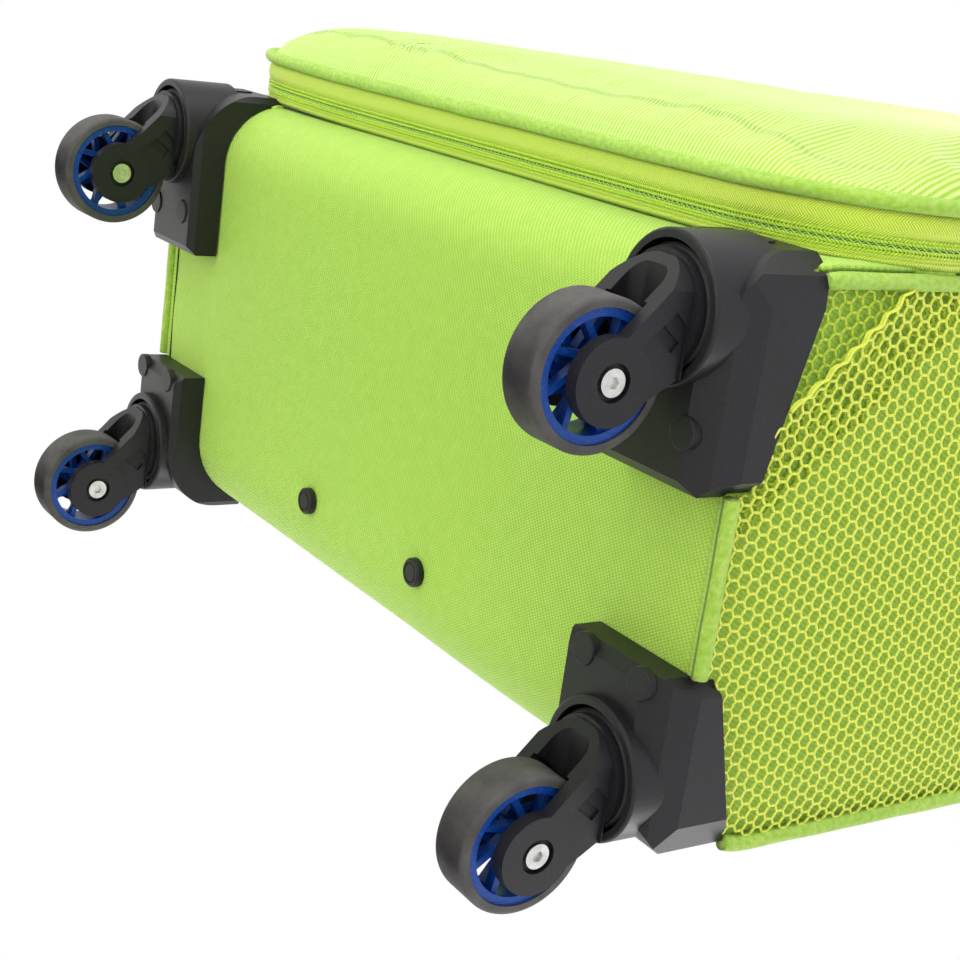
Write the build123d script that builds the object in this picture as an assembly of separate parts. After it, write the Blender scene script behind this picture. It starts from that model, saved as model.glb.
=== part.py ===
from build123d import *
import os

# Softside upright suitcase on four swivel casters, standing on its wheels.
# Millimetres. +Z is up, -Y is the front (lid) side, +X is the mesh pocket side.
# The origin is on the floor, under the middle of the whole case.

# ---- driving dimensions ----
WHEEL_D = 50.0
TYRE_THICK = 3.4
TYRE_W = 16.6
TRAIL = 20.0                    # axle behind the swivel axis
SWIVEL_X = 194.0                # caster swivel axes
SWIVEL_Y_FRONT = -70.0
SWIVEL_Y_BACK = 88.0
SOCKET_Z = 52.5                 # lower rim of each caster hood
PLATE_Z = 56.5                  # flat face of each caster plate
BOTTOM_Z = 71.5                 # underside of the case
BODY_H = 600.0
BACK_Y = 113.5
RIM_Y = -89.0                   # front rim of the body
CHAIN_Y = -95.0                 # main zipper's parting plane
LID_SEAM_Y = -106.5             # where the zipper tape meets the lid
LID_FRONT_Y = -122.0
POCKET_FRONT_Y = -128.0
WALL = 3.0                      # padded fabric wall
SIDE_X = 216.5                  # outer face of the side panels
CORNER_R = 35.0                 # back edges, seen from the side
RIM_CORNER_R = 30.0             # front edges, seen from the side
PIPING_R = 3.2
ZIP_X = 219.0                   # main zipper's path, half width
ZIP_INSET_Z = 27.0              # main zipper's path inside the body's height
ZIP_CORNER_R = 55.0
LID_LIP = 1.5                   # lid outline outside the zipper's path
TAPE = 1.2                      # zipper tape thickness
TUBE_X = 46.7                   # telescopic tubes
TUBE_Y = 73.0
TUBE_W = 20.0
TUBE_D = 14.0
TUBE_WALL = 1.0
TUBE_GAP = 0.3
MESH_Z1 = 335.0                 # top hem of the side mesh pocket
MESH_OUT_X = 223.2
GAP = 0.3                       # air between bodies that move past each other

TOP_Z = BOTTOM_Z + BODY_H
MID_Z = BOTTOM_Z + BODY_H / 2
PARTS = {}


def block(x0, x1, y0, y1, z0, z1):
    """Box between two corners."""
    return Pos((x0 + x1) / 2, (y0 + y1) / 2, (z0 + z1) / 2) * Box(x1 - x0, y1 - y0, z1 - z0)


def rod(r, z0, z1, x=0.0, y=0.0):
    """Upright cylinder."""
    return Pos(x, y, (z0 + z1) / 2) * Cylinder(r, z1 - z0)


def rod_x(r, x0, x1, y, z):
    """Cylinder along X."""
    return Pos((x0 + x1) / 2, y, z) * Rot(0, 90, 0) * Cylinder(r, x1 - x0)


def side_profile(y0, y1, z0, z1, r_front, r_back):
    """Outline in the YZ plane with front corners r_front and back corners r_back."""
    face = make_face(Plane.YZ * Polyline((y0, z0), (y1, z0), (y1, z1), (y0, z1), close=True))
    face = fillet(face.vertices().filter_by(lambda v: v.Y > (y0 + y1) / 2), r_back)
    return fillet(face.vertices().filter_by(lambda v: v.Y < y0 + 0.01), r_front)


def prism_x(face, x0, x1):
    """Extrude a YZ face from x0 to x1."""
    return Pos(x0, 0, 0) * extrude(face, x1 - x0, dir=(1, 0, 0))


def front_face(half_width, half_height, r, y):
    """Rounded rectangle in the XZ plane, centred on the body, facing forward."""
    plane = Plane(origin=(0, y, MID_Z), x_dir=(1, 0, 0), z_dir=(0, -1, 0))
    return plane * RectangleRounded(2 * half_width, 2 * half_height, r)


def zip_outline(inset, y):
    """The main zipper's path, inset all round."""
    return front_face(ZIP_X - inset, BODY_H / 2 - ZIP_INSET_Z - inset, ZIP_CORNER_R - inset, y)


def lid_outline(inset, y):
    """The lid's outline, inset all round."""
    return zip_outline(inset - LID_LIP, y)


def zip_band(inset, thick, y_back, y_front):
    """Closed band along the main zipper, from y_back forward to y_front."""
    depth = y_back - y_front
    return extrude(zip_outline(inset, y_back), depth) - extrude(zip_outline(inset + thick, y_back), depth)


def ring_tube(outline, r):
    """Round tube along the outline of a face."""
    wire = outline.faces()[0].outer_wire()
    start = wire.position_at(0.1)
    section = Plane(origin=start, z_dir=wire.tangent_at(0.1)) * Circle(r)
    return sweep(section, path=wire)


def keep(name, *solids):
    """Collect the solids of one node."""
    shape = solids[0]
    if len(solids) > 1:
        shape = Compound(children=[s for item in solids for s in item.solids()])
    PARTS[name] = shape


# ---- fabric body: wrap strip, side panels, piping ----
def body_profile(offset):
    """Body outline in the YZ plane, offset inwards."""
    return side_profile(RIM_Y + offset, BACK_Y - offset, BOTTOM_Z + offset, TOP_Z - offset,
                        RIM_CORNER_R - offset, CORNER_R - offset)


envelope = prism_x(body_profile(0), -SIDE_X, SIDE_X)
STRIP_X = SIDE_X - WALL
strip = prism_x(body_profile(0), -STRIP_X, STRIP_X) - prism_x(body_profile(WALL), -STRIP_X, STRIP_X)
strip = strip - block(-STRIP_X, STRIP_X, RIM_Y - 1, RIM_Y + WALL,
                      BOTTOM_Z + RIM_CORNER_R, TOP_Z - RIM_CORNER_R)
zone_bottom = block(-300, 300, -200, 200, 0, BOTTOM_Z + CORNER_R)
zone_top = block(-300, 300, -200, 200, TOP_Z - CORNER_R, 900)
zone_back = block(-300, 300, -200, 200, BOTTOM_Z + CORNER_R, TOP_Z - CORNER_R)
bottom_panel = strip & zone_bottom
top_panel = strip & zone_top
back_panel = strip & zone_back

side_face = body_profile(0)
left_panel = prism_x(side_face, -SIDE_X, -STRIP_X)
right_panel = prism_x(side_face, STRIP_X, SIDE_X)

# The front rim closes the corners between the square body and the rounded zipper path.
rim_panel = block(-STRIP_X, STRIP_X, RIM_Y, RIM_Y + 2, BOTTOM_Z + RIM_CORNER_R, TOP_Z - RIM_CORNER_R)
rim_panel = rim_panel - extrude(zip_outline(10, RIM_Y + 5), 20)

side_piping = []
for side in (-1, 1):
    x_seam = side * (SIDE_X + 1.6)
    loop = Pos(x_seam, 0, 0) * side_profile(RIM_Y + PIPING_R + 1, BACK_Y - 1, BOTTOM_Z + 1, TOP_Z - 1,
                                            RIM_CORNER_R, CORNER_R - 1)
    side_piping.append(ring_tube(loop, PIPING_R) - envelope)

# ---- main zipper and lid ----
COIL = 1.4                      # the zipper's coil stands this far out of the tape
COIL_W = 2.6
zip_body = zip_band(0, TAPE, RIM_Y, CHAIN_Y + GAP / 2)
zip_body = zip_body + zip_band(-COIL, 2 * COIL, CHAIN_Y + COIL_W, CHAIN_Y + GAP / 2)
zip_lid = zip_band(0, TAPE, CHAIN_Y - GAP / 2, LID_SEAM_Y)
zip_lid = zip_lid + zip_band(-COIL, 2 * COIL, CHAIN_Y - GAP / 2, CHAIN_Y - COIL_W)

lid = extrude(lid_outline(0, LID_SEAM_Y), LID_SEAM_Y - LID_FRONT_Y)
front_edges = lid.edges().filter_by(lambda e: e.center().Y < LID_FRONT_Y + 0.1)
lid = fillet(front_edges, 9.0)
LID_PAD = 9.0                   # padded front of the lid; the rest of its depth is open
lid = lid - extrude(zip_outline(TAPE, LID_SEAM_Y), LID_SEAM_Y - LID_FRONT_Y - LID_PAD)
lid_piping = ring_tube(lid_outline(0.2, LID_SEAM_Y - PIPING_R), PIPING_R) - lid

POCKET_X0, POCKET_X1 = -76.0, 182.0
POCKET_Z0, POCKET_Z1 = 108.0, 400.0
front_pocket = block(POCKET_X0, POCKET_X1, POCKET_FRONT_Y, LID_FRONT_Y, POCKET_Z0, POCKET_Z1)
front_pocket = fillet(front_pocket.edges().filter_by(Axis.Y), 30.0)
front_pocket = chamfer(front_pocket.faces().sort_by(Axis.Y)[0].edges(), 3.0)

POCKET_ZIP_Z = 432.0
POCKET_ZIP_X = 150.0
pocket_zip = block(-POCKET_ZIP_X, POCKET_ZIP_X, LID_FRONT_Y - 1.6, LID_FRONT_Y,
                   POCKET_ZIP_Z - 12, POCKET_ZIP_Z + 12)

# ---- zipper sliders and their pull tabs ----
SLIDER_L = 14.0
CHAIN_TOP_Z = TOP_Z - ZIP_INSET_Z + COIL
SLIDER_X = (64.0, 126.0)
PULL_L = 34.0
PIVOT = 2.5                     # pull's pivot above the slider's middle plane


def zip_slider(bridge_turn):
    """Slider on a chain along X, with an arched bridge on top; bridge_turn 90 sets it across."""
    plate = Box(SLIDER_L, 10.0, 2.2)
    plate = fillet(plate.edges().filter_by(Axis.Z), 3.0)
    bridge = Pos(0, 0, 3.2) * Box(10.0, 3.0, 4.2) - Pos(0, 0, PIVOT) * Box(6.0, 3.2, 2.8)
    return plate + Rot(0, 0, bridge_turn) * bridge


def pull_tab():
    """Flat pull lying along -X; its end bar is at the origin and its eye clears the bridge."""
    tab = Pos(-PULL_L / 2 + 1.0, 0, 0) * Box(PULL_L, 8.0, 1.6)
    tab = fillet(tab.edges().filter_by(Axis.Z), 2.0)
    return tab - Pos(-3.7, 0, 0) * Box(5.4, 4.0, 3.0)


tab_shape = pull_tab()
SLIDER_Z = CHAIN_TOP_Z + 1.1 + GAP
PULL_Z = SLIDER_Z + PIVOT
for index, x in enumerate(SLIDER_X):
    letter = "ab"[index]
    keep("main_zip_slider_" + letter, Pos(x, CHAIN_Y, SLIDER_Z) * zip_slider(0))
    keep("main_zip_pull_" + letter, Pos(x, CHAIN_Y, PULL_Z) * tab_shape)

POCKET_SLIDER_X = POCKET_ZIP_X - 16
pocket_turn = Rot(90, 0, 0)
pocket_front = LID_FRONT_Y - 1.6
slider_place = Pos(POCKET_SLIDER_X, pocket_front - 1.1 - GAP, POCKET_ZIP_Z)
keep("pocket_zip_slider", slider_place * pocket_turn * zip_slider(90))
pull_place = Pos(POCKET_SLIDER_X, pocket_front - 1.1 - GAP - PIVOT, POCKET_ZIP_Z)
keep("pocket_zip_pull", pull_place * Rot(0, -90, 0) * pocket_turn * tab_shape)

# ---- inside: base board, rim hoop, lining, packing straps ----
base_board = block(-205, 205, RIM_Y + RIM_CORNER_R + 1, 53, BOTTOM_Z + WALL, BOTTOM_Z + WALL + 4)
hoop_path = zip_outline(8.2, RIM_Y + 4.4)
rim_hoop = ring_tube(hoop_path, 2.2)
LINING_Y = 54.0
back_lining = block(-208, 208, LINING_Y, LINING_Y + 2, BOTTOM_Z + WALL + 6, TOP_Z - WALL - 6)
straps = [block(side * 80 - 12.5, side * 80 + 12.5, LINING_Y - 2.0, LINING_Y, 110, 640) for side in (-1, 1)]

# ---- telescopic handle ----
FOOT_Z = BOTTOM_Z + WALL + 1.0
HOUSING_TOP = TOP_Z + 4.0


def flat_tube(width, depth, z0, z1, wall):
    """Pair of rounded rectangular tubes, left and right."""
    pair = []
    for side in (-1, 1):
        outer = Pos(side * TUBE_X, TUBE_Y, z0) * extrude(RectangleRounded(width, depth, 4.0), z1 - z0)
        bore = RectangleRounded(width - 2 * wall, depth - 2 * wall, 4.0 - wall)
        pair.append(outer - Pos(side * TUBE_X, TUBE_Y, z0) * extrude(bore, z1 - z0))
    return pair


STEP_IN = 2 * (TUBE_WALL + TUBE_GAP)
tubes_outer = flat_tube(TUBE_W, TUBE_D, FOOT_Z + 6, TOP_Z - 16, TUBE_WALL)
tubes_mid = flat_tube(TUBE_W - STEP_IN, TUBE_D - STEP_IN, FOOT_Z + 20, TOP_Z - 6, TUBE_WALL)
tubes_inner = flat_tube(TUBE_W - 2 * STEP_IN, TUBE_D - 2 * STEP_IN, FOOT_Z + 30, TOP_Z - 2, TUBE_WALL)

tube_feet = []
for side in (-1, 1):
    stud = rod(6.0, BOTTOM_Z - 3.2, BOTTOM_Z, side * TUBE_X, TUBE_Y)
    stud = chamfer(stud.faces().sort_by(Axis.Z)[0].edges(), 0.8)
    stud = stud - (rod(4.2, BOTTOM_Z - 4, BOTTOM_Z - 2.7, side * TUBE_X, TUBE_Y)
                   - rod(3.7, BOTTOM_Z - 4, BOTTOM_Z - 2.7, side * TUBE_X, TUBE_Y))
    stem = rod(3.0, BOTTOM_Z, FOOT_Z + 3, side * TUBE_X, TUBE_Y)
    shoe = Pos(side * TUBE_X, TUBE_Y, FOOT_Z + 3) * extrude(RectangleRounded(TUBE_W, TUBE_D, 4.0), 3)
    tube_feet.append(stud + stem + shoe)
    bottom_panel = bottom_panel - rod(3.0, 60, 90, side * TUBE_X, TUBE_Y)

HOUSING_X, HOUSING_Y0, HOUSING_Y1 = 82.0, 52.0, 94.0
housing_plan = Pos(0, (HOUSING_Y0 + HOUSING_Y1) / 2, 0) * RectangleRounded(
    2 * HOUSING_X, HOUSING_Y1 - HOUSING_Y0, 10)
housing = Pos(0, 0, TOP_Z) * extrude(housing_plan, HOUSING_TOP - TOP_Z)
housing = chamfer(housing.faces().sort_by(Axis.Z)[-1].edges(), 2.0)
tray_plan = Pos(0, TUBE_Y, 0) * RectangleRounded(2 * HOUSING_X - 12, HOUSING_Y1 - HOUSING_Y0 - 10, 7)
tray = Pos(0, 0, TOP_Z - 16) * extrude(tray_plan, 16)
recess_plan = Pos(0, TUBE_Y, 0) * RectangleRounded(2 * HOUSING_X - 18, HOUSING_Y1 - HOUSING_Y0 - 16, 5)
housing = housing + tray - Pos(0, 0, TOP_Z - 13) * extrude(recess_plan, 30)
slots = [Pos(side * TUBE_X, TUBE_Y, TOP_Z - 17) * extrude(
    RectangleRounded(TUBE_W - STEP_IN + 2 * GAP, TUBE_D - STEP_IN + 2 * GAP, 3.0), 6) for side in (-1, 1)]
for slot in slots:
    housing = housing - slot
top_panel = top_panel - Pos(0, 0, TOP_Z - 20) * extrude(tray_plan, 40)

GRIP_X, GRIP_Z0, GRIP_Z1, GRIP_D = 68.0, TOP_Z - 2.0, TOP_Z + 16.0, 24.0
grip_plan = Pos(0, TUBE_Y, 0) * RectangleRounded(2 * GRIP_X, GRIP_D, 10)
grip = Pos(0, 0, GRIP_Z0) * extrude(grip_plan, GRIP_Z1 - GRIP_Z0)
grip = fillet(grip.faces().sort_by(Axis.Z)[-1].edges(), 5.0)
button_hole = Pos(0, TUBE_Y, GRIP_Z1 - 8) * extrude(RectangleRounded(32 + 2 * GAP, 11 + 2 * GAP, 5), 20)
grip = grip - button_hole
button = Pos(0, TUBE_Y, GRIP_Z1 - 3.0) * extrude(RectangleRounded(32, 11, 5), 4.5)
button = fillet(button.faces().sort_by(Axis.Z)[-1].edges(), 1.5)

# ---- carry handles: webbing band with a padded middle, legs run through slots ----
HANDLE_X, HANDLE_W, HANDLE_T = 84.0, 24.0, 8.0
HANDLE_GAP = 9.5


def strap_handle(half, width, gap, thick, leg):
    """Handle along X at the origin; z=0 is the panel face and the legs go below it."""
    bar = Pos(0, 0, gap + thick / 2) * Box(2 * half, width, thick)
    bar = fillet(bar.edges().filter_by(Axis.X), thick * 0.35)
    legs = [Pos(side * (half - 3.0), 0, (gap + 1 - leg) / 2) * Box(4.0, width - 6, gap + 1 + leg)
            for side in (-1, 1)]
    return bar + legs[0] + legs[1]


def handle_anchor(half, width, height):
    """Two anchor shoes with the slots that the legs run through."""
    shoes = []
    for side in (-1, 1):
        shoe = Pos(side * (half - 3.0), 0, height / 2) * Box(20.0, width + 6, height)
        shoe = chamfer(shoe.faces().sort_by(Axis.Z)[-1].edges(), height * 0.35)
        shoes.append(shoe - Pos(side * (half - 3.0), 0, 0) * Box(4.0 + 2 * GAP, width - 6 + 2 * GAP, 60))
    return shoes


def leg_slots(half, width):
    """Slots through the panel under a handle."""
    return [Pos(side * (half - 3.0), 0, 0) * Box(4.0 + 2 * GAP, width - 6 + 2 * GAP, 60)
            for side in (-1, 1)]


LEG = 22.0                      # reach of a handle's legs behind the panel
SIDE_LEG = 16.0
top_place = Pos(0, -14, TOP_Z)
top_handle = top_place * strap_handle(HANDLE_X, HANDLE_W, HANDLE_GAP, HANDLE_T, LEG)
top_anchors = [top_place * s for s in handle_anchor(HANDLE_X, HANDLE_W, 5.0)]
for slot in leg_slots(HANDLE_X, HANDLE_W):
    top_panel = top_panel - top_place * slot

side_place = Pos(-SIDE_X, 12, MID_Z + 10) * Rot(0, -90, 0)
side_handle = side_place * strap_handle(HANDLE_X, HANDLE_W, 5.4, 4.6, SIDE_LEG)
side_anchors = [side_place * s for s in handle_anchor(HANDLE_X, HANDLE_W, 3.4)]
for slot in leg_slots(HANDLE_X, HANDLE_W):
    left_panel = left_panel - side_place * slot

# ---- mesh pocket on the right side: open at the top hem ----
MESH_T = 1.2
mesh_pocket = block(SIDE_X, MESH_OUT_X, RIM_Y + 12, BACK_Y - 7, BOTTOM_Z + 7, MESH_Z1)
mesh_pocket = mesh_pocket - block(SIDE_X - 1, MESH_OUT_X - MESH_T, RIM_Y + 15, BACK_Y - 10,
                                  BOTTOM_Z + 10, MESH_Z1 + 5)
mesh_pocket = mesh_pocket & prism_x(side_profile(RIM_Y + 12, BACK_Y - 7, BOTTOM_Z + 7, TOP_Z, 23, 30),
                                    SIDE_X, MESH_OUT_X)

# ---- casters ----
HOOD_R = 25.0
SOCKET_R = 21.8
PLATE_X0, PLATE_X1 = 166.0, 221.0
PLUG_R = 5.85
FRONT_PLUG_Z = 88.5             # third cover, on the part of the plate that wraps up
FORK_IN = 10.2                  # inner face of each fork arm, from the wheel's middle
FORK_OUT = 15.4
AXLE_R = 3.0
AXLE_Z = WHEEL_D / 2
RIM_R = WHEEL_D / 2 - TYRE_THICK


def plate_yz(y_in, y_tip, wrap_r, lip_in, lip_tip):
    """Side view of a plate from its inner end to its tip, which wraps round the body's edge."""
    sign = 1 if y_tip > y_in else -1
    lines = [
        Line((y_in, lip_in), (y_in, PLATE_Z + 4)),
        Line((y_in, PLATE_Z + 4), (y_in + sign * 4, PLATE_Z)),
        Line((y_in + sign * 4, PLATE_Z), (y_tip - sign * wrap_r, PLATE_Z)),
        RadiusArc((y_tip - sign * wrap_r, PLATE_Z), (y_tip, PLATE_Z + wrap_r), -sign * wrap_r),
        Line((y_tip, PLATE_Z + wrap_r), (y_tip, lip_tip)),
        Line((y_tip, lip_tip), (y_in, lip_in)),
    ]
    return make_face(Plane.YZ * Wire(lines))


def caster_plate(side, y_axis, y_in, y_tip, lip_in, lip_tip):
    """Moulded corner plate with its hood, for one corner."""
    sign = 1 if y_tip > y_in else -1
    block_x = prism_x(plate_yz(y_in, y_tip, 30.0, lip_in, lip_tip), PLATE_X0, PLATE_X1)
    front = Plane.XZ * Polyline(
        (PLATE_X0, 130), (PLATE_X0, PLATE_Z + 3), (PLATE_X0 + 3, PLATE_Z), (PLATE_X1 - 12, PLATE_Z),
        (PLATE_X1 - 3, PLATE_Z + 6), (PLATE_X1, PLATE_Z + 16), (PLATE_X1, 130), close=True)
    bevel_z = Pos(0, 200, 0) * extrude(make_face(front), 400)
    plan = Polyline(
        (PLATE_X0, y_in), (PLATE_X0, y_tip - sign * 3), (PLATE_X0 + 3, y_tip), (PLATE_X1 - 12, y_tip),
        (PLATE_X1 - 3, y_tip - sign * 6), (PLATE_X1, y_tip - sign * 16), (PLATE_X1, y_in + sign * 6),
        (PLATE_X1 - 6, y_in), close=True)
    plate = block_x & bevel_z & extrude(make_face(plan), 130)
    hood = rod(HOOD_R, SOCKET_Z, lip_tip - 10, SWIVEL_X, y_axis)
    hood = chamfer(hood.faces().sort_by(Axis.Z)[-1].edges(), 6.0)
    hood = fillet(hood.faces().sort_by(Axis.Z)[0].edges(), 1.2)
    plate = plate + hood
    plate = plate - rod(SOCKET_R, 40, SOCKET_Z + 10, SWIVEL_X, y_axis)
    plate = plate - rod(10.5, 40, SOCKET_Z + 16, SWIVEL_X, y_axis)
    for x_plug in (SWIVEL_X - 16.5, SWIVEL_X + 14.0):
        y_plug = y_axis - sign * 36.5
        plate = plate - rod(PLUG_R, 40, PLATE_Z + 2.5, x_plug, y_plug)
    y_face = y_tip - sign * 2.2
    dimple = Pos(SWIVEL_X - 2.4, y_face + sign * 10, FRONT_PLUG_Z) * Rot(90, 0, 0) * Cylinder(PLUG_R, 20)
    plate = plate - dimple - envelope
    if side < 0:
        plate = mirror(plate, Plane.YZ)
    return plate


def caster_plugs(side, y_axis, sign, y_tip):
    """Three round covers over the mounting screws of one plate."""
    plugs = []
    for x_plug in (SWIVEL_X - 16.5, SWIVEL_X + 14.0):
        plug = rod(PLUG_R, PLATE_Z - 0.7, PLATE_Z + 2.5, x_plug, y_axis - sign * 36.5)
        plugs.append(fillet(plug.faces().sort_by(Axis.Z)[0].edges(), 0.6))
    face = Pos(SWIVEL_X - 2.4, y_tip - sign * 0.75, FRONT_PLUG_Z) * Rot(90, 0, 0) * Cylinder(PLUG_R, 2.9)
    plugs.append(face)
    return [mirror(p, Plane.YZ) for p in plugs] if side < 0 else plugs


FORK_NOSE_R = 17.5              # the fork's front, seen from above
FORK_RECESS = 1.3               # the rear of each arm lies behind the raised front rib


def fork_side(y_axis):
    """The fork seen from the side, trailing back to the axle."""
    axle_y = y_axis + TRAIL
    outline = Polyline((y_axis - 17, SOCKET_Z + 1), (y_axis + 17.5, SOCKET_Z + 1), (axle_y + 13.6, AXLE_Z + 3),
                       (axle_y, AXLE_Z), (y_axis + 7, AXLE_Z + 2), (y_axis - 17, AXLE_Z + 25), close=True)
    return make_face(Plane.YZ * outline)


def fork_recess(y_axis):
    """Rear part of an arm's outer face, behind the rib."""
    axle_y = y_axis + TRAIL
    outline = Polyline((y_axis + 13.2, AXLE_Z + 3.9), (y_axis - 1.8, AXLE_Z + 20.2), (y_axis + 3, AXLE_Z + 25.2),
                       (y_axis + 22, AXLE_Z + 25.2), (axle_y + 17, AXLE_Z + 3), (axle_y, AXLE_Z), close=True)
    return make_face(Plane.YZ * outline)


def caster_fork(x_axis, y_axis):
    """Two-armed yoke with a round head in the hood, a rounded nose and a window over the wheel."""
    axle_y = y_axis + TRAIL
    yoke = prism_x(fork_side(y_axis), -FORK_OUT, FORK_OUT)
    plan = rod(FORK_NOSE_R, 0, 80, 0, y_axis) + block(-FORK_OUT, FORK_OUT, y_axis, y_axis + 60, 0, 80)
    discs = rod_x(14.0, -FORK_OUT, FORK_OUT, axle_y, AXLE_Z)
    yoke = yoke & plan
    for x0, x1 in ((-FORK_OUT, FORK_RECESS - FORK_OUT), (FORK_OUT - FORK_RECESS, FORK_OUT)):
        yoke = yoke - prism_x(fork_recess(y_axis), x0, x1)
    under_hood = block(-40, 40, y_axis - 40, y_axis + 60, SOCKET_Z - 2, SOCKET_Z + 9)
    yoke = (yoke - under_hood) + discs
    collar = rod(19.0, SOCKET_Z - 2, SOCKET_Z + 1, 0, y_axis)
    head = rod(20.4, SOCKET_Z + 0.8, SOCKET_Z + 8.5)
    head = Pos(0, y_axis, 0) * chamfer(head.faces().sort_by(Axis.Z)[0].edges(), 1.0)
    fork = yoke + collar + head
    fork = fork - rod_x(WHEEL_D / 2 + 1.5, -FORK_IN, FORK_IN, axle_y, AXLE_Z)
    window = block(-8.5, 8.5, y_axis - 30, y_axis + 5, 10, AXLE_Z + 22)
    window = fillet(window.edges().filter_by(Axis.Y).sort_by(Axis.Z)[-2:], 5.0)
    fork = fork - window - rod_x(AXLE_R, -20, 20, axle_y, AXLE_Z)
    for side in (-1, 1):
        fork = fork - rod_x(6.2, side * FORK_OUT - 2.0, side * FORK_OUT + 2.0, axle_y, AXLE_Z)
        slot = Pos(side * (FORK_OUT - FORK_RECESS), y_axis + 6.5, AXLE_Z + 18.5) * Rot(52, 0, 0)
        fork = fork - slot * Box(2.0, 10.0, 4.2)
    fork = fork - rod(5.95, SOCKET_Z + 3.5, SOCKET_Z + 12, 0, y_axis)
    return Pos(x_axis, 0, 0) * fork


def caster_pin(x_axis, y_axis):
    """Swivel pin, fixed in the fork's head and turning in the plate's bearing."""
    return rod(5.95, SOCKET_Z + 3.5, SOCKET_Z + 15.8, x_axis, y_axis)


def caster_bearing(x_axis, y_axis):
    """Plain bearing ring in the plate."""
    return rod(10.5, SOCKET_Z + 10.4, SOCKET_Z + 15.4, x_axis, y_axis) - rod(
        6.0, SOCKET_Z, SOCKET_Z + 20, x_axis, y_axis)


def caster_axle(x_axis, y_axis):
    """Riveted axle with a socketed head at each end."""
    axle = rod_x(AXLE_R, -FORK_OUT + 2.0, FORK_OUT - 2.0, y_axis + TRAIL, AXLE_Z)
    for side in (-1, 1):
        inner = side * (FORK_OUT - 2.0)
        head = rod_x(4.5, min(inner, inner + side * 1.7), max(inner, inner + side * 1.7),
                     y_axis + TRAIL, AXLE_Z)
        hexagon = Rot(0, 90, 0) * extrude(RegularPolygon(2.1, 6), 1.5, both=True)
        axle = axle + head - Pos(inner + side * 2.0, y_axis + TRAIL, AXLE_Z) * hexagon
    return Pos(x_axis, 0, 0) * axle


SPOKES = 8


def wheel_rim(x_axis, y_axis):
    """Hub and ring joined by two layers of spokes that lean opposite ways."""
    hub = rod_x(6.5, -9.0, 9.0, 0, 0)
    ring = rod_x(RIM_R, -7.4, 7.4, 0, 0) - rod_x(RIM_R - 3.0, -7.6, 7.6, 0, 0)
    rim = hub + ring
    for layer in (-1, 1):
        for index in range(SPOKES):
            angle = index * 360.0 / SPOKES + layer * 11.0
            spoke = Rot(angle, 0, 0) * Pos(layer * 3.4, 0, 12.4) * Rot(layer * 24.0, 0, 0) * Box(4.0, 2.4, 15.0)
            rim = rim + spoke
    rim = rim - rod_x(AXLE_R + 0.05, -12, 12, 0, 0)
    return Pos(x_axis, y_axis + TRAIL, AXLE_Z) * rim


def wheel_tyre(x_axis, y_axis):
    """Tyre band with rounded shoulders."""
    tyre = rod_x(WHEEL_D / 2, -TYRE_W / 2, TYRE_W / 2, 0, 0)
    tyre = fillet(tyre.edges().filter_by(GeomType.CIRCLE), 1.6)
    tyre = tyre - rod_x(RIM_R, -20, 20, 0, 0)
    return Pos(x_axis, y_axis + TRAIL, AXLE_Z) * tyre


CORNERS = {
    "front_right": (1, SWIVEL_Y_FRONT), "front_left": (-1, SWIVEL_Y_FRONT),
    "back_right": (1, SWIVEL_Y_BACK), "back_left": (-1, SWIVEL_Y_BACK),
}
plugs, bearings, plates = [], [], []
for corner, (side, y_axis) in CORNERS.items():
    front = y_axis < 0
    sign = -1 if front else 1
    y_in, y_tip = (-14.0, -92.0) if front else (47.5, 116.3)
    plate = caster_plate(side, y_axis, y_in, y_tip, 80.0, 98.5)
    plates.append(plate)
    keep("plate_" + corner, plate)
    plugs += caster_plugs(side, y_axis, sign, y_tip)
    bearings.append(caster_bearing(side * SWIVEL_X, y_axis))
    keep("fork_" + corner, caster_fork(side * SWIVEL_X, y_axis))
    keep("swivel_pin_" + corner, caster_pin(side * SWIVEL_X, y_axis))
    keep("axle_" + corner, caster_axle(side * SWIVEL_X, y_axis))
    keep("rim_" + corner, wheel_rim(side * SWIVEL_X, y_axis))
    keep("tyre_" + corner, wheel_tyre(side * SWIVEL_X, y_axis))

side_piping = [p - plates[0] - plates[1] - plates[2] - plates[3] for p in side_piping]
mesh_pocket = mesh_pocket - plates[0] - plates[2]

keep("caster_screw_covers", *plugs)
keep("caster_bearings", *bearings)
keep("bottom_panel", bottom_panel)
keep("top_panel", top_panel)
keep("back_panel", back_panel)
keep("left_side_panel", left_panel)
keep("right_side_panel", right_panel)
keep("front_rim_panel", rim_panel)
keep("side_piping", *side_piping)
keep("main_zipper_body_half", zip_body)
keep("main_zipper_lid_half", zip_lid)
keep("lid_panel", lid)
keep("lid_piping", lid_piping)
keep("front_pocket", front_pocket)
keep("front_pocket_zipper", pocket_zip)
keep("base_board", base_board)
keep("rim_hoop", rim_hoop)
keep("back_lining", back_lining)
keep("packing_straps", *straps)
keep("trolley_outer_tubes", *tubes_outer)
keep("trolley_mid_tubes", *tubes_mid)
keep("trolley_inner_tubes", *tubes_inner)
keep("trolley_tube_feet", *tube_feet)
keep("trolley_housing", housing)
keep("trolley_grip", grip)
keep("trolley_button", button)
keep("top_handle", top_handle)
keep("side_handle", side_handle)
keep("handle_anchors", *top_anchors, *side_anchors)
keep("mesh_pocket", mesh_pocket)

os.makedirs("parts", exist_ok=True)
for name, shape in PARTS.items():
    export_step(shape, os.path.join("parts", name + ".step"))
print(len(PARTS), "nodes")
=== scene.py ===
import math

import bmesh
import bpy
import numpy as np
from mathutils import Matrix, Vector


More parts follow.
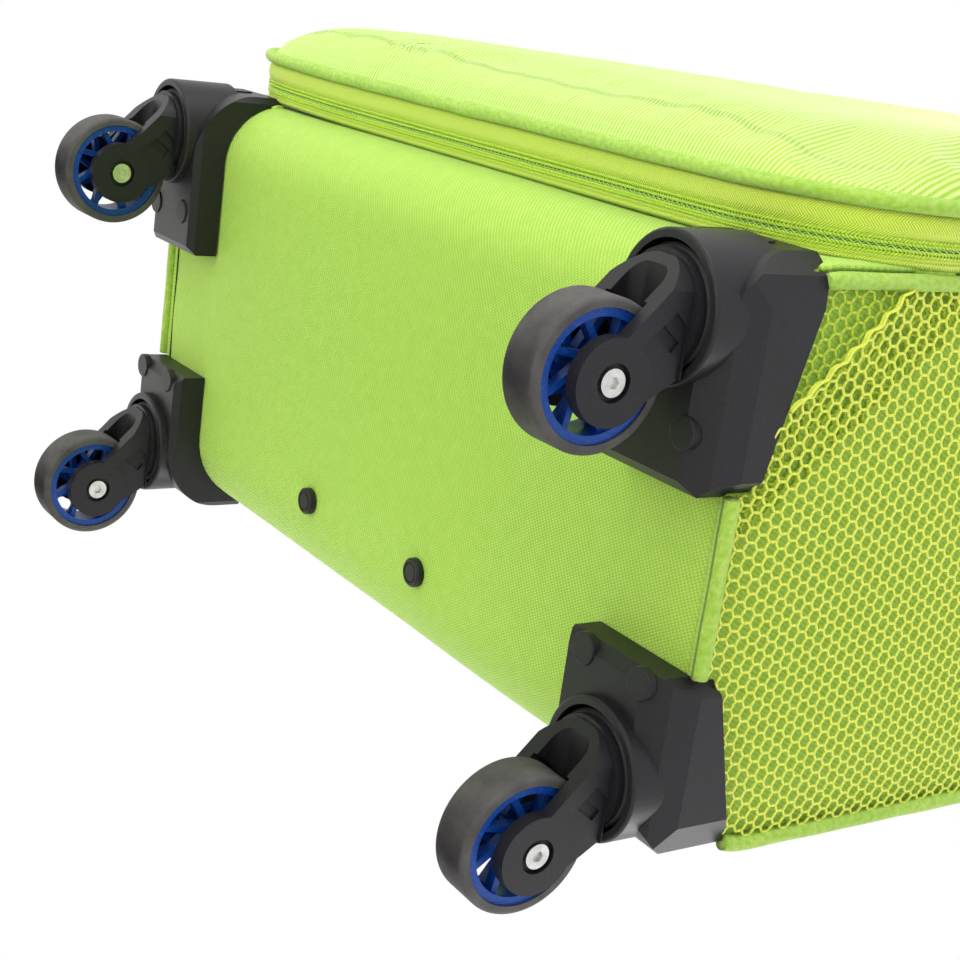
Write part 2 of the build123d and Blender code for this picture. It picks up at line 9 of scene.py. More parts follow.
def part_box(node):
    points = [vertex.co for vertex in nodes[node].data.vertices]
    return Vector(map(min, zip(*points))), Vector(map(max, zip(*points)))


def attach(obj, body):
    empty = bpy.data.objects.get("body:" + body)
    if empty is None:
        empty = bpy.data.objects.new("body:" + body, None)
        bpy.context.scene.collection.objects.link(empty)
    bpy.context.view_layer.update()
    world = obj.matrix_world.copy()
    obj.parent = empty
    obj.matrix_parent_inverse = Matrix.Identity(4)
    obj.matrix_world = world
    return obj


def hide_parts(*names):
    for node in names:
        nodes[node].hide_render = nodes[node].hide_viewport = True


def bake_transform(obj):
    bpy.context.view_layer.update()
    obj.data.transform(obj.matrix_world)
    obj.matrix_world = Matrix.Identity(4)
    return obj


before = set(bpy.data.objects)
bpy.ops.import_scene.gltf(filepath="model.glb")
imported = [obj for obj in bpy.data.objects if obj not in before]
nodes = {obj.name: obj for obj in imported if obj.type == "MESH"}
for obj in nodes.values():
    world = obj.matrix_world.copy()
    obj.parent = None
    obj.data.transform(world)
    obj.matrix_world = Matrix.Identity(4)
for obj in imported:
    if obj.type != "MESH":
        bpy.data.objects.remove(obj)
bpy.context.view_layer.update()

# Softside upright suitcase: soft shell, lid, net pocket, zippers and materials around the CAD frame.
# Everything is in metres, in the frame's own axes: +Z up, -Y the lid side, +X the net pocket side.

MM = 0.001

# ---- sizes taken from the frame ----
low_right, high_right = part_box("right_side_panel")
low_back, high_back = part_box("back_panel")
SIDE_X = high_right.x                       # outer face of the side panels
BOTTOM_Z = low_right.z
TOP_Z = high_right.z
BACK_Y = high_back.y
RIM_Y = low_right.y
MID_Z = (BOTTOM_Z + TOP_Z) / 2
CORNER_R = low_back.z - BOTTOM_Z            # rounding of the back edges, seen from the side
FRONT_R = 30 * MM                           # rounding of the front edges
low_zip, high_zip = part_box("main_zipper_lid_half")
COIL_OUT = 1.4 * MM
ZIP_X = high_zip.x - COIL_OUT
ZIP_HALF_Z = (high_zip.z - low_zip.z) / 2 - COIL_OUT
ZIP_R = 55 * MM
CHAIN_Y = high_zip.y
LID_SEAM_Y = low_zip.y
low_lid, high_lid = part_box("lid_panel")
LID_X = high_lid.x
LID_HALF_Z = (high_lid.z - low_lid.z) / 2
LID_R = 56.5 * MM
LID_FRONT_Y = low_lid.y
low_net, high_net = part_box("mesh_pocket")


# ---- camera, floor and light ----
def make_camera():
    """Below and in front of the case, looking up at its wheels, with the lid side up in the frame."""
    right = Vector((0.5410, -0.1338, 0.8303)).normalized()
    forward = Vector((-0.7852, 0.2734, 0.5556)).normalized()
    up = right.cross(forward).normalized()
    right = forward.cross(up).normalized()
    data = bpy.data.cameras.new("camera")
    data.lens = 64.4
    data.sensor_width = 36.0
    data.clip_start = 0.01
    camera = bpy.data.objects.new("camera", data)
    rotation = Matrix((right, up, -forward)).transposed().to_4x4()
    camera.matrix_world = Matrix.Translation((0.5979, -0.1571, -0.2934)) @ rotation
    bpy.context.scene.collection.objects.link(camera)
    bpy.context.scene.camera = camera


def area_light(name, place, target, size, power):
    data = bpy.data.lights.new(name, "AREA")
    data.shape = "DISK"
    data.size = size
    data.energy = power
    light = bpy.data.objects.new(name, data)
    light.location = place
    light.rotation_mode = "QUATERNION"
    light.rotation_quaternion = (Vector(target) - Vector(place)).to_track_quat("-Z", "Y")
    bpy.context.scene.collection.objects.link(light)


def make_stage():
    """Pale floor that is seen from above only, white surroundings and soft lights on every side."""
    bpy.context.scene.view_settings.view_transform = "Standard"
    world = bpy.data.worlds.new("studio")
    world.use_nodes = True
    world.node_tree.nodes["Background"].inputs["Color"].default_value = (1, 1, 1, 1)
    world.node_tree.nodes["Background"].inputs["Strength"].default_value = 1.0
    bpy.context.scene.world = world
    bpy.ops.mesh.primitive_plane_add(size=8.0, location=(0, 0, -0.0002))
    floor = bpy.context.object
    floor.name = "floor"
    material = bpy.data.materials.new("floor")
    material.use_nodes = True
    tree = material.node_tree
    shader = tree.nodes["Principled BSDF"]
    shader.inputs["Base Color"].default_value = (0.86, 0.86, 0.85, 1)
    shader.inputs["Roughness"].default_value = 0.6
    clear = tree.nodes.new("ShaderNodeBsdfTransparent")
    face = tree.nodes.new("ShaderNodeNewGeometry")
    mix = tree.nodes.new("ShaderNodeMixShader")
    tree.links.new(face.outputs["Backfacing"], mix.inputs["Fac"])
    tree.links.new(shader.outputs["BSDF"], mix.inputs[1])
    tree.links.new(clear.outputs["BSDF"], mix.inputs[2])
    tree.links.new(mix.outputs["Shader"], tree.nodes["Material Output"].inputs["Surface"])
    floor.data.materials.append(material)
    floor.visible_shadow = False
    middle = (0, 0, 0.3)
    area_light("front_light", (0.3, -1.9, 0.1), middle, 1.4, 17)
    area_light("under_light", (0.2, -0.7, -1.5), middle, 1.2, 12)
    area_light("top_light", (-0.9, -0.6, 2.2), middle, 1.2, 26)
    area_light("back_light", (0.6, 2.0, 1.4), middle, 1.2, 20)


make_camera()
make_stage()


# ---- materials ----
class Nodes:
    """Small helper that adds nodes to one material's tree."""

    def __init__(self, name):
        self.material = bpy.data.materials.new(name)
        self.material.use_nodes = True
        self.tree = self.material.node_tree
        self.shader = self.tree.nodes["Principled BSDF"]

    def add(self, kind, **values):
        node = self.tree.nodes.new(kind)
        for key, value in values.items():
            setattr(node, key, value)
        return node

    def link(self, a, b):
        self.tree.links.new(a, b)

    def math(self, operation, a, b=None, clamp=False):
        node = self.add("ShaderNodeMath", operation=operation, use_clamp=clamp)
        for socket, value in zip(node.inputs, (a, b)):
            if value is None:
                continue
            if isinstance(value, (int, float)):
                socket.default_value = value
            else:
                self.link(value, socket)
        return node.outputs[0]

    def coordinates(self, kind="Object"):
        return self.add("ShaderNodeTexCoord").outputs[kind]

    def noise(self, vector, scale, detail=3.0, rough=0.55):
        node = self.add("ShaderNodeTexNoise")
        node.inputs["Scale"].default_value = scale
        node.inputs["Detail"].default_value = detail
        node.inputs["Roughness"].default_value = rough
        self.link(vector, node.inputs["Vector"])
        return node.outputs["Fac"]

    def ramp(self, factor, low, high):
        """Linear step of a factor between low and high."""
        node = self.add("ShaderNodeMapRange", clamp=True)
        self.link(factor, node.inputs["Value"])
        node.inputs["From Min"].default_value = low
        node.inputs["From Max"].default_value = high
        return node.outputs["Result"]

    def mix(self, factor, a, b):
        node = self.add("ShaderNodeMix", data_type="RGBA")
        self.link(factor, node.inputs["Factor"])
        for socket, value in ((node.inputs["A"], a), (node.inputs["B"], b)):
            if isinstance(value, tuple):
                socket.default_value = (*value, 1.0)
            else:
                self.link(value, socket)
        return node.outputs["Result"]

    def bump(self, height, distance, strength=1.0, normal=None):
        node = self.add("ShaderNodeBump")
        node.inputs["Strength"].default_value = strength
        node.inputs["Distance"].default_value = distance
        self.link(height, node.inputs["Height"])
        if normal is not None:
            self.link(normal, node.inputs["Normal"])
        return node.outputs["Normal"]

    def split(self, vector):
        node = self.add("ShaderNodeSeparateXYZ")
        self.link(vector, node.inputs[0])
        return node.outputs

    def wave(self, value, pitch, phase=0.0):
        """Sine of a length in metres, with that pitch, from -1 to 1."""
        turns = self.math("MULTIPLY", value, 2 * math.pi / pitch)
        return self.math("SINE", self.math("ADD", turns, phase))

    def finish(self, colour, normal=None, rough=None, **sockets):
        if isinstance(colour, tuple):
            self.shader.inputs["Base Color"].default_value = (*colour, 1.0)
        else:
            self.link(colour, self.shader.inputs["Base Color"])
        if normal is not None:
            self.link(normal, self.shader.inputs["Normal"])
        if isinstance(rough, (int, float)):
            self.shader.inputs["Roughness"].default_value = rough
        elif rough is not None:
            self.link(rough, self.shader.inputs["Roughness"])
        for name, value in sockets.items():
            self.shader.inputs[name.replace("_", " ")].default_value = value
        return self.material


LIME = (0.40, 0.655, 0.050)
LIME_DEEP = (0.19, 0.46, 0.012)
LIME_PALE = (0.60, 0.80, 0.17)
TAPE_LIME = (0.60, 0.76, 0.050)
TAPE_DEEP = (0.28, 0.50, 0.010)


def dobby_fabric(name, base, deep, pale, pitch=2.0 * MM, bump=0.25 * MM):
    """Woven polyester with staggered dots; the UV map is the cloth's own lengths in metres."""
    n = Nodes(name)
    uv = n.coordinates("UV")
    u, v, _ = n.split(uv)
    across = n.math("ADD", u, n.math("MULTIPLY", v, 0.5))
    dots = n.math("MULTIPLY", n.wave(across, pitch), n.wave(v, pitch * 0.9))
    dots = n.math("MULTIPLY_ADD", dots, 0.5)
    dots.node.inputs[2].default_value = 0.5
    threads = n.math("MULTIPLY", n.wave(u, 0.42 * MM), n.wave(v, 0.42 * MM))
    patch = n.noise(uv, 160.0, 2.0)
    broad = n.noise(uv, 9.0, 2.0)
    height = n.math("ADD", dots, n.math("MULTIPLY", threads, 0.22))
    height = n.math("ADD", height, n.math("MULTIPLY", patch, 0.6))
    light = n.ramp(n.math("ADD", dots, n.math("MULTIPLY", patch, 0.5)), 0.55, 1.35)
    colour = n.mix(light, base, pale)
    dark = n.ramp(n.math("SUBTRACT", 1.0, n.math("ADD", dots, n.math("MULTIPLY", broad, 0.3))), 0.45, 1.0)
    colour = n.mix(n.math("MULTIPLY", dark, 0.7), colour, deep)
    return n.finish(colour, n.bump(height, bump), 0.62, Sheen_Weight=0.25, Sheen_Roughness=0.4,
                    Specular_IOR_Level=0.35)


def ribbed_fabric(name, base, deep, pale, pitch=1.9 * MM):
    """Cloth with fine raised ribs that are broken up by the yarn."""
    n = Nodes(name)
    uv = n.coordinates("UV")
    u, v, _ = n.split(uv)
    wobble = n.math("MULTIPLY", n.noise(uv, 45.0, 2.0), 0.5 * MM)
    slope = n.math("MULTIPLY", u, 0.12)
    ribs = n.wave(n.math("ADD", n.math("ADD", v, slope), wobble), pitch)
    cross = n.wave(u, 0.8 * MM)
    height = n.math("ADD", ribs, n.math("MULTIPLY", cross, 0.3))
    light = n.ramp(n.math("ADD", ribs, n.math("MULTIPLY", n.noise(uv, 300.0), 0.8)), 0.0, 1.5)
    colour = n.mix(light, base, pale)
    dark = n.ramp(n.math("MULTIPLY", ribs, -1.0), 0.35, 1.0)
    colour = n.mix(n.math("MULTIPLY", dark, 0.5), colour, deep)
    return n.finish(colour, n.bump(height, 0.2 * MM), 0.6, Sheen_Weight=0.25, Sheen_Roughness=0.4,
                    Specular_IOR_Level=0.35)


def piping_fabric(name, base, deep, pale):
    """Bias-cut cover of the piping: fine twill, slightly mottled."""
    n = Nodes(name)
    uv = n.coordinates("UV")
    u, v, _ = n.split(uv)
    twill = n.wave(n.math("ADD", u, v), 0.7 * MM)
    mottle = n.noise(uv, 420.0, 3.0)
    broad = n.noise(uv, 25.0, 2.0)
    height = n.math("ADD", n.math("MULTIPLY", twill, 0.6), mottle)
    colour = n.mix(n.ramp(mottle, 0.35, 0.75), base, pale)
    colour = n.mix(n.math("MULTIPLY", n.ramp(broad, 0.4, 0.8), 0.4), colour, deep)
    return n.finish(colour, n.bump(height, 0.18 * MM), 0.66, Sheen_Weight=0.2, Specular_IOR_Level=0.3)


def herringbone_tape(name, base, deep, pale):
    """Zipper tape: slanted threads that change direction every few millimetres across the tape."""
    n = Nodes(name)
    uv = n.coordinates("UV")
    u, v, _ = n.split(uv)
    fold = n.math("PINGPONG", v, 3.2 * MM)
    threads = n.wave(n.math("ADD", u, n.math("MULTIPLY", fold, 0.9)), 1.05 * MM)
    fine = n.noise(uv, 700.0, 2.0)
    height = n.math("ADD", threads, n.math("MULTIPLY", fine, 0.5))
    colour = n.mix(n.ramp(threads, -0.2, 1.0), base, pale)
    colour = n.mix(n.math("MULTIPLY", n.ramp(n.math("MULTIPLY", threads, -1.0), 0.1, 1.0), 0.6), colour, deep)
    return n.finish(colour, n.bump(height, 0.14 * MM), 0.55, Sheen_Weight=0.2, Specular_IOR_Level=0.4)


def thread_material(name, base, deep):
    """Sewing thread and net yarn: twisted plies."""
    n = Nodes(name)
    place = n.coordinates("Object")
    twist = n.noise(place, 1500.0, 2.0)
    broad = n.noise(place, 60.0, 2.0)
    colour = n.mix(n.ramp(twist, 0.3, 0.7), deep, base)
    colour = n.mix(n.math("MULTIPLY", n.ramp(broad, 0.45, 0.8), 0.3), colour, deep)
    return n.finish(colour, n.bump(twist, 0.15 * MM), 0.5, Sheen_Weight=0.15)


def moulded_plastic(name, base, light, grain=2600.0, rough=0.42, bump=0.05 * MM):
    """Moulded plastic with a fine spark grain and faint rubbed patches."""
    n = Nodes(name)
    place = n.coordinates("Object")
    spark = n.noise(place, grain, 2.0, 0.6)
    rub = n.noise(place, 22.0, 3.0)
    colour = n.mix(n.math("MULTIPLY", n.ramp(spark, 0.45, 0.75), 0.6), base, light)
    roughness = n.math("MULTIPLY_ADD", rub, 0.16)
    roughness.node.inputs[2].default_value = rough - 0.08
    return n.finish(colour, n.bump(spark, bump), roughness, Specular_IOR_Level=0.32)


def tyre_rubber():
    """Grey polyurethane tread with dust and fine scuffs along the rolling direction."""
    n = Nodes("tyre_rubber")
    place = n.coordinates("Object")
    grain = n.noise(place, 1900.0, 3.0, 0.65)
    dust = n.noise(place, 70.0, 4.0, 0.6)
    colour = n.mix(n.ramp(dust, 0.35, 0.75), (0.068, 0.063, 0.064), (0.125, 0.117, 0.115))
    colour = n.mix(n.math("MULTIPLY", n.ramp(grain, 0.5, 0.8), 0.5), colour, (0.14, 0.13, 0.125))
    return n.finish(colour, n.bump(grain, 0.08 * MM), 0.68, Specular_IOR_Level=0.3)


def brushed_metal(name, base, dark, rough=0.3):
    n = Nodes(name)
    place = n.coordinates("Object")
    mapping = n.add("ShaderNodeMapping")
    n.link(place, mapping.inputs["Vector"])
    mapping.inputs["Scale"].default_value = (1.0, 1.0, 0.06)
    streak = n.noise(mapping.outputs["Vector"], 2400.0, 2.0)
    blotch = n.noise(place, 240.0, 3.0)
    colour = n.mix(n.ramp(blotch, 0.3, 0.75), base, dark)
    roughness = n.math("MULTIPLY_ADD", streak, 0.22)
    roughness.node.inputs[2].default_value = rough - 0.08
    return n.finish(colour, n.bump(streak, 0.02 * MM), roughness, Metallic=1.0)


def plain_lining(name, base, light):
    n = Nodes(name)
    uv = n.coordinates("Object")
    x, y, z = n.split(uv)
    weave = n.math("MULTIPLY", n.wave(n.math("ADD", x, y), 0.9 * MM), n.wave(z, 0.9 * MM))
    cloud = n.noise(uv, 14.0, 3.0)
    colour = n.mix(n.ramp(n.math("ADD", weave, cloud), 0.2, 1.6), base, light)
    return n.finish(colour, n.bump(weave, 0.1 * MM), 0.6, Sheen_Weight=0.2)


MAT = {
    "body": dobby_fabric("body_fabric", LIME, LIME_DEEP, LIME_PALE),
    "lid": ribbed_fabric("lid_fabric", (0.44, 0.66, 0.085), LIME_DEEP, (0.66, 0.83, 0.28)),
    "piping": piping_fabric("piping_cover", (0.36, 0.63, 0.035), LIME_DEEP, LIME_PALE),
    "tape": herringbone_tape("zipper_tape", TAPE_LIME, TAPE_DEEP, (0.74, 0.88, 0.13)),
    "coil": thread_material("zipper_coil", (0.30, 0.66, 0.03), (0.10, 0.34, 0.01)),
    "braid": thread_material("zipper_braid", (0.62, 0.78, 0.07), TAPE_DEEP),
    "thread": thread_material("sewing_thread", (0.50, 0.84, 0.12), LIME_DEEP),
    "net": thread_material("net_yarn", (0.78, 0.79, 0.11), (0.58, 0.70, 0.03)),
    # painted shade: a darker copy of the net yarn, for the net layer that lies in shade under the fold
    "net_painted_shade": thread_material("net_yarn_shaded", (0.62, 0.74, 0.06), (0.40, 0.58, 0.01)),
    "pale_thread": thread_material("zipper_thread", (0.62, 0.84, 0.36), (0.34, 0.62, 0.10)),
    "black": moulded_plastic("black_plastic", (0.011, 0.010, 0.013), (0.030, 0.028, 0.032), 2600.0, 0.40),
    "cover": moulded_plastic("cover_plastic", (0.012, 0.011, 0.013), (0.028, 0.027, 0.029), 1800.0, 0.45),
    "blue": moulded_plastic("blue_plastic", (0.004, 0.055, 0.33), (0.02, 0.11, 0.48), 900.0, 0.34),
    "tyre": tyre_rubber(),
    "zinc": brushed_metal("zinc_plating", (0.78, 0.78, 0.76), (0.50, 0.50, 0.49)),
    "gunmetal": brushed_metal("zipper_metal", (0.42, 0.42, 0.43), (0.24, 0.24, 0.25), 0.36),
    "aluminium": brushed_metal("aluminium_tube", (0.80, 0.80, 0.81), (0.66, 0.66, 0.67), 0.28),
    "lining": plain_lining("lining_cloth", (0.030, 0.030, 0.034), (0.060, 0.060, 0.066)),
    "board": moulded_plastic("board_plastic", (0.035, 0.035, 0.035), (0.06, 0.06, 0.06), 1200.0, 0.6),
    "nylon": moulded_plastic("bearing_nylon", (0.55, 0.54, 0.50), (0.68, 0.67, 0.62), 1500.0, 0.5),
    "button": moulded_plastic("button_plastic", (0.16, 0.16, 0.17), (0.24, 0.24, 0.25), 1500.0, 0.35),
}


def dress(node, key):
    """Gives a CAD node its material."""
    mesh = nodes[node].data
    mesh.materials.clear()
    mesh.materials.append(MAT[key])


CORNERS = ("front_right", "front_left", "back_right", "back_left")
for corner in CORNERS:
    dress("plate_" + corner, "black")
    dress("fork_" + corner, "black")
    dress("swivel_pin_" + corner, "zinc")
    dress("axle_" + corner, "zinc")
    dress("rim_" + corner, "blue")
    dress("tyre_" + corner, "tyre")
for node, key in {
    "caster_screw_covers": "cover", "trolley_tube_feet": "cover", "caster_bearings": "nylon",
    "base_board": "board", "rim_hoop": "zinc", "back_lining": "lining", "packing_straps": "lining",
    "trolley_outer_tubes": "aluminium", "trolley_mid_tubes": "aluminium", "trolley_inner_tubes": "aluminium",
    "trolley_housing": "black", "trolley_grip": "black", "trolley_button": "button",
    "handle_anchors": "black",
    "main_zip_slider_a": "gunmetal", "main_zip_slider_b": "gunmetal", "main_zip_pull_a": "gunmetal",
    "main_zip_pull_b": "gunmetal", "pocket_zip_slider": "gunmetal", "pocket_zip_pull": "gunmetal",
}.items():
    dress(node, key)


# ---- mesh tools ----
def new_piece(name, points, faces, material, body, uvs=None, replaces=(), slot=None, smooth=True):
    """Mesh object from points, faces and per-point UVs, riding on a body."""
    mesh = bpy.data.meshes.new(name)
    mesh.from_pydata([tuple(p) for p in points], [], faces)
    if uvs is not None:
        layer = mesh.uv_layers.new(name="cloth")
        loops = np.zeros(len(mesh.loops), np.int32)
        mesh.loops.foreach_get("vertex_index", loops)
        layer.data.foreach_set("uv", np.asarray(uvs, np.float32)[loops].ravel())
    mesh.materials.append(MAT[material])
    if smooth:
        mesh.polygons.foreach_set("use_smooth", [True] * len(mesh.polygons))
    piece = bpy.data.objects.new(name, mesh)
    bpy.context.scene.collection.objects.link(piece)
    if body:
        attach(piece, body)
    if replaces:
        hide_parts(*replaces)
    return piece


def grid_faces(rows, columns, wrap=False, flip=False):
    """Quads of a rows x columns grid; wrap joins the last row to the first."""
    faces = []
    for i in range(rows if wrap else rows - 1):
        for j in range(columns - 1):
            a, b = i * columns + j, ((i + 1) % rows) * columns + j
            face = (a, b, b + 1, a + 1)
            faces.append(face[::-1] if flip else face)
    return faces


def thicken(piece, thickness, offset=-1.0):
    """Closed wall: the sheet gets a thickness behind its visible face."""
    solid = piece.modifiers.new("wall", "SOLIDIFY")
    solid.thickness = thickness
    solid.offset = offset
    return piece


def rounded_loop(half_a, half_b, radius, step):
    """Closed rounded rectangle as (a, b) points, with outward normals, at about even steps."""
    points, normals = [], []
    straight_a, straight_b = half_a - radius, half_b - radius
    corners = ((straight_a, straight_b, 0), (-straight_a, straight_b, 90),
               (-straight_a, -straight_b, 180), (straight_a, -straight_b, 270))
    for index, (ca, cb, start) in enumerate(corners):
        count = max(4, round(radius * math.pi / 2 / step))
        for k in range(count + 1):
            angle = math.radians(start + 90.0 * k / count)
            normal = (math.cos(angle), math.sin(angle))
            points.append((ca + radius * normal[0], cb + radius * normal[1]))
            normals.append(normal)
        nxt = corners[(index + 1) % 4]
        end = math.radians(start + 90)
        target = (nxt[0] + radius * math.cos(end), nxt[1] + radius * math.sin(end))
        here = points[-1]
        length = math.dist(here, target)
        for k in range(1, max(1, round(length / step))):
            t = k / max(1, round(length / step))
            points.append((here[0] + (target[0] - here[0]) * t, here[1] + (target[1] - here[1]) * t))
            normals.append(normals[-1])
    return np.array(points), np.array(normals)


def arc_lengths(points, closed=True):
    points = np.asarray(points)
    ahead = np.roll(points, -1, 0) if closed else points[1:]
    behind = points if closed else points[:-1]
    return np.concatenate([[0.0], np.cumsum(np.linalg.norm(ahead - behind, axis=1))])


def zip_loop(step, inset=0.0):
    """The main zipper's path in x and z, with outward normals."""
    points, normals = rounded_loop(ZIP_X - inset, ZIP_HALF_Z - inset, ZIP_R - inset, step)
    return points + (0, MID_Z), normals


def lid_loop(step, inset=0.0):
    points, normals = rounded_loop(LID_X - inset, LID_HALF_Z - inset, LID_R - inset, step)
    return points + (0, MID_Z), normals


def band_on_loop(name, loop, section, material, body, **more):
    """Sheet swept round a closed x-z loop; section is a list of (outward offset, y)."""
    points, normals = loop
    run = arc_lengths(points)
    section = np.array(section)
    across = arc_lengths(section, closed=False)
    verts, uvs = [], []
    for index in range(len(points) + 1):
        k = index % len(points)
        for (out, y), w in zip(section, across):
            place = points[k] + normals[k] * out
            verts.append((place[0], y, place[1]))
            uvs.append((run[index], w))
    return new_piece(name, verts, grid_faces(len(points) + 1, len(section)), material, body, uvs=uvs, **more)


def tube_section(radius, centre_out, centre_y, sides=14):
    """Closed circle as a band section."""
    return [(centre_out + radius * math.cos(2 * math.pi * k / sides),
             centre_y + radius * math.sin(2 * math.pi * k / sides)) for k in range(sides + 1)]


def weld(piece, distance=1e-6):
    """Joins the doubled points where a swept band closes on itself."""
    bm = bmesh.new()
    bm.from_mesh(piece.data)
    bmesh.ops.remove_doubles(bm, verts=bm.verts, dist=distance)
    bm.to_mesh(piece.data)
    bm.free()
    return piece


# ---- outer shell: wrap strip ----
def side_path(step, inset=0.0):
    """Open y-z path of the wrap strip: front, bottom, back, top, front, with outward normals."""
    y0, y1 = RIM_Y, BACK_Y - inset
    z0, z1 = BOTTOM_Z + inset, TOP_Z - inset
    back = CORNER_R - inset
    path = []

    def arc(cy, cz, r, start, end):
        count = max(3, round(abs(end - start) * math.pi / 180 * r / step))
        for k in range(count + 1):
            angle = math.radians(start + (end - start) * k / count)
            path.append((cy + r * math.cos(angle), cz + r * math.sin(angle),
                         math.cos(angle), math.sin(angle)))

    def line(a, b, normal):
        count = max(1, round(math.dist(a, b) / step))
        for k in range(1, count):
            t = k / count
            path.append((a[0] + (b[0] - a[0]) * t, a[1] + (b[1] - a[1]) * t, *normal))

    front = max(FRONT_R - inset, 2 * MM)
    arc(y0 + front, z0 + front, front, 180, 270)
    line((y0 + front, z0), (y1 - back, z0), (0, -1))
    arc(y1 - back, z0 + back, back, 270, 360)
    line((y1, z0 + back), (y1, z1 - back), (1, 0))
    arc(y1 - back, z1 - back, back, 0, 90)
    line((y1 - back, z1), (y0 + front, z1), (0, 1))
    arc(y0 + front, z1 - front, front, 90, 180)
    return np.array(path)


def ripple(u, v, seed=0.0):
    """Gentle unevenness of stretched cloth, about -1 to 1."""
    return (math.sin(23 * u + 5 * v + seed) * math.sin(17 * v - 7 * u + 1.3 * seed)
            + 0.5 * math.sin(61 * u - 13 * v + 2 * seed) * math.sin(47 * v + 11 * u + seed)) / 1.5


def make_wrap():
    """One strip of padded cloth: bottom, back and top, pulled in at its side seams."""
    low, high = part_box("trolley_housing")
    open_x, open_y0, open_y1 = high.x - 3 * MM, low.y + 2.5 * MM, high.y - 2.5 * MM
    path = side_path(5 * MM)
    for y in (open_y1, open_y0):
        row = next(k for k in range(len(path) - 1) if path[k][1] > MID_Z and path[k][0] > y > path[k + 1][0])
        share = (path[row][0] - y) / (path[row][0] - path[row + 1][0])
        path = np.insert(path, row + 1, path[row] * (1 - share) + path[row + 1] * share, axis=0)
    run = arc_lengths(path[:, :2], closed=False)
    half = SIDE_X - 1.0 * MM
    columns = np.concatenate([-half + np.array([0, 1.5, 3.5, 6, 9, 13, 18]) * MM,
                              np.linspace(-half + 26 * MM, half - 26 * MM, 70),
                              half - np.array([18, 13, 9, 6, 3.5, 1.5, 0]) * MM])
    columns = np.sort(np.append(columns, [-open_x, open_x]))
    verts, uvs = [], []
    for (y, z, ny, nz), s in zip(path, run):
        for x in columns:
            edge = half - abs(x)
            pull = 1.8 * MM * math.exp(-edge / (5 * MM))
            wander = 2 * math.sin(s / (31 * MM))
            pucker = 0.35 * MM * math.sin(s / (6 * MM) + wander) * math.exp(-edge / (9 * MM))
            soft = 0.5 * MM * (ripple(x * 0.7, s * 0.7) - 1.0)
            off = -pull + pucker + soft
            verts.append((x, y + ny * off, z + nz * off))
            uvs.append((x, s))

    def under_housing(face):
        return all(abs(x) < open_x + 0.1 * MM and open_y0 - 0.1 * MM < y < open_y1 + 0.1 * MM and z > MID_Z
                   for x, y, z in (verts[k] for k in face))

    faces = [face for face in grid_faces(len(path), len(columns)) if not under_housing(face)]
    piece = new_piece("shell_wrap", verts, faces, "body", "case",
                      uvs=uvs, replaces=("bottom_panel", "back_panel", "top_panel"), slot="body_fabric")
    thicken(piece, 2.6 * MM)
    piece.data.materials.append(MAT["lining"])
    piece.modifiers["wall"].material_offset = 1
    return piece


make_wrap()

# ---- tubes, threads and lofts ----
class Bundle:
    """Collects many small closed shapes into one mesh."""

    def __init__(self):
        self.points, self.faces, self.uvs, self.count = [], [], [], 0

    def add(self, points, faces, uvs):
        self.points.append(points)
        self.faces.append([tuple(int(v) + self.count for v in face) for face in faces])
        self.uvs.append(uvs)
        self.count += len(points)

    def piece(self, name, material, body, **more):
        faces = [face for group in self.faces for face in group]
        return new_piece(name, np.concatenate(self.points), faces, material, body,
                         uvs=np.concatenate(self.uvs), **more)


def tube(points, up, radius, sides=8, closed=False):
    """Round tube along a line; radius may change along it."""
    points = np.asarray(points, float)
    count = len(points)
    if closed:
        tangent = np.roll(points, -1, 0) - np.roll(points, 1, 0)
    else:
        tangent = np.vstack([points[1:], points[-1:]]) - np.vstack([points[:1], points[:-1]])
    tangent /= np.linalg.norm(tangent, axis=1)[:, None]
    side = np.cross(tangent, np.broadcast_to(up, points.shape))
    side /= np.linalg.norm(side, axis=1)[:, None]
    lift = np.cross(side, tangent)
    angle = np.arange(sides) * 2 * math.pi / sides
    radius = np.broadcast_to(radius, count)[:, None, None]
    ring = np.cos(angle)[None, :, None] * side[:, None, :] + np.sin(angle)[None, :, None] * lift[:, None, :]
    verts = (points[:, None, :] + radius * ring).reshape(-1, 3)
    i = np.arange(count if closed else count - 1)[:, None]
    j = np.arange(sides)[None, :]
    after, beside = (i + 1) % count, (j + 1) % sides
    faces = np.stack([i * sides + j, after * sides + j, after * sides + beside, i * sides + beside], -1)
    faces = faces.reshape(-1, 4).tolist()
    if not closed:
        faces += [list(range(sides)), list(range(len(verts) - 1, len(verts) - sides - 1, -1))]
    run = arc_lengths(points, closed=False)
    uvs = np.stack(np.broadcast_arrays(run[:, None], angle[None, :] * float(radius.max())), -1).reshape(-1, 2)
    return verts, faces, uvs


def rods(a, b, radius, sides=5):
    """Many short straight rods with closed ends."""
    axis = b - a
    axis /= np.linalg.norm(axis, axis=1)[:, None]
    side = np.cross(axis, (1.0, 0.0, 0.0))
    side /= np.linalg.norm(side, axis=1)[:, None]
    lift = np.cross(side, axis)
    angle = np.arange(sides) * 2 * math.pi / sides
    ring = np.cos(angle)[None, :, None] * side[:, None, :] + np.sin(angle)[None, :, None] * lift[:, None, :]
    verts = np.stack([a[:, None, :] + radius * ring, b[:, None, :] + radius * ring], 1).reshape(-1, 3)
    faces = []
    for start in range(0, len(verts), 2 * sides):
        for j in range(sides):
            k = (j + 1) % sides
            faces.append((start + j, start + sides + j, start + sides + k, start + k))
        faces.append(tuple(range(start, start + sides)))
        faces.append(tuple(range(start + 2 * sides - 1, start + sides - 1, -1)))
    return verts, faces, verts[:, 1:]


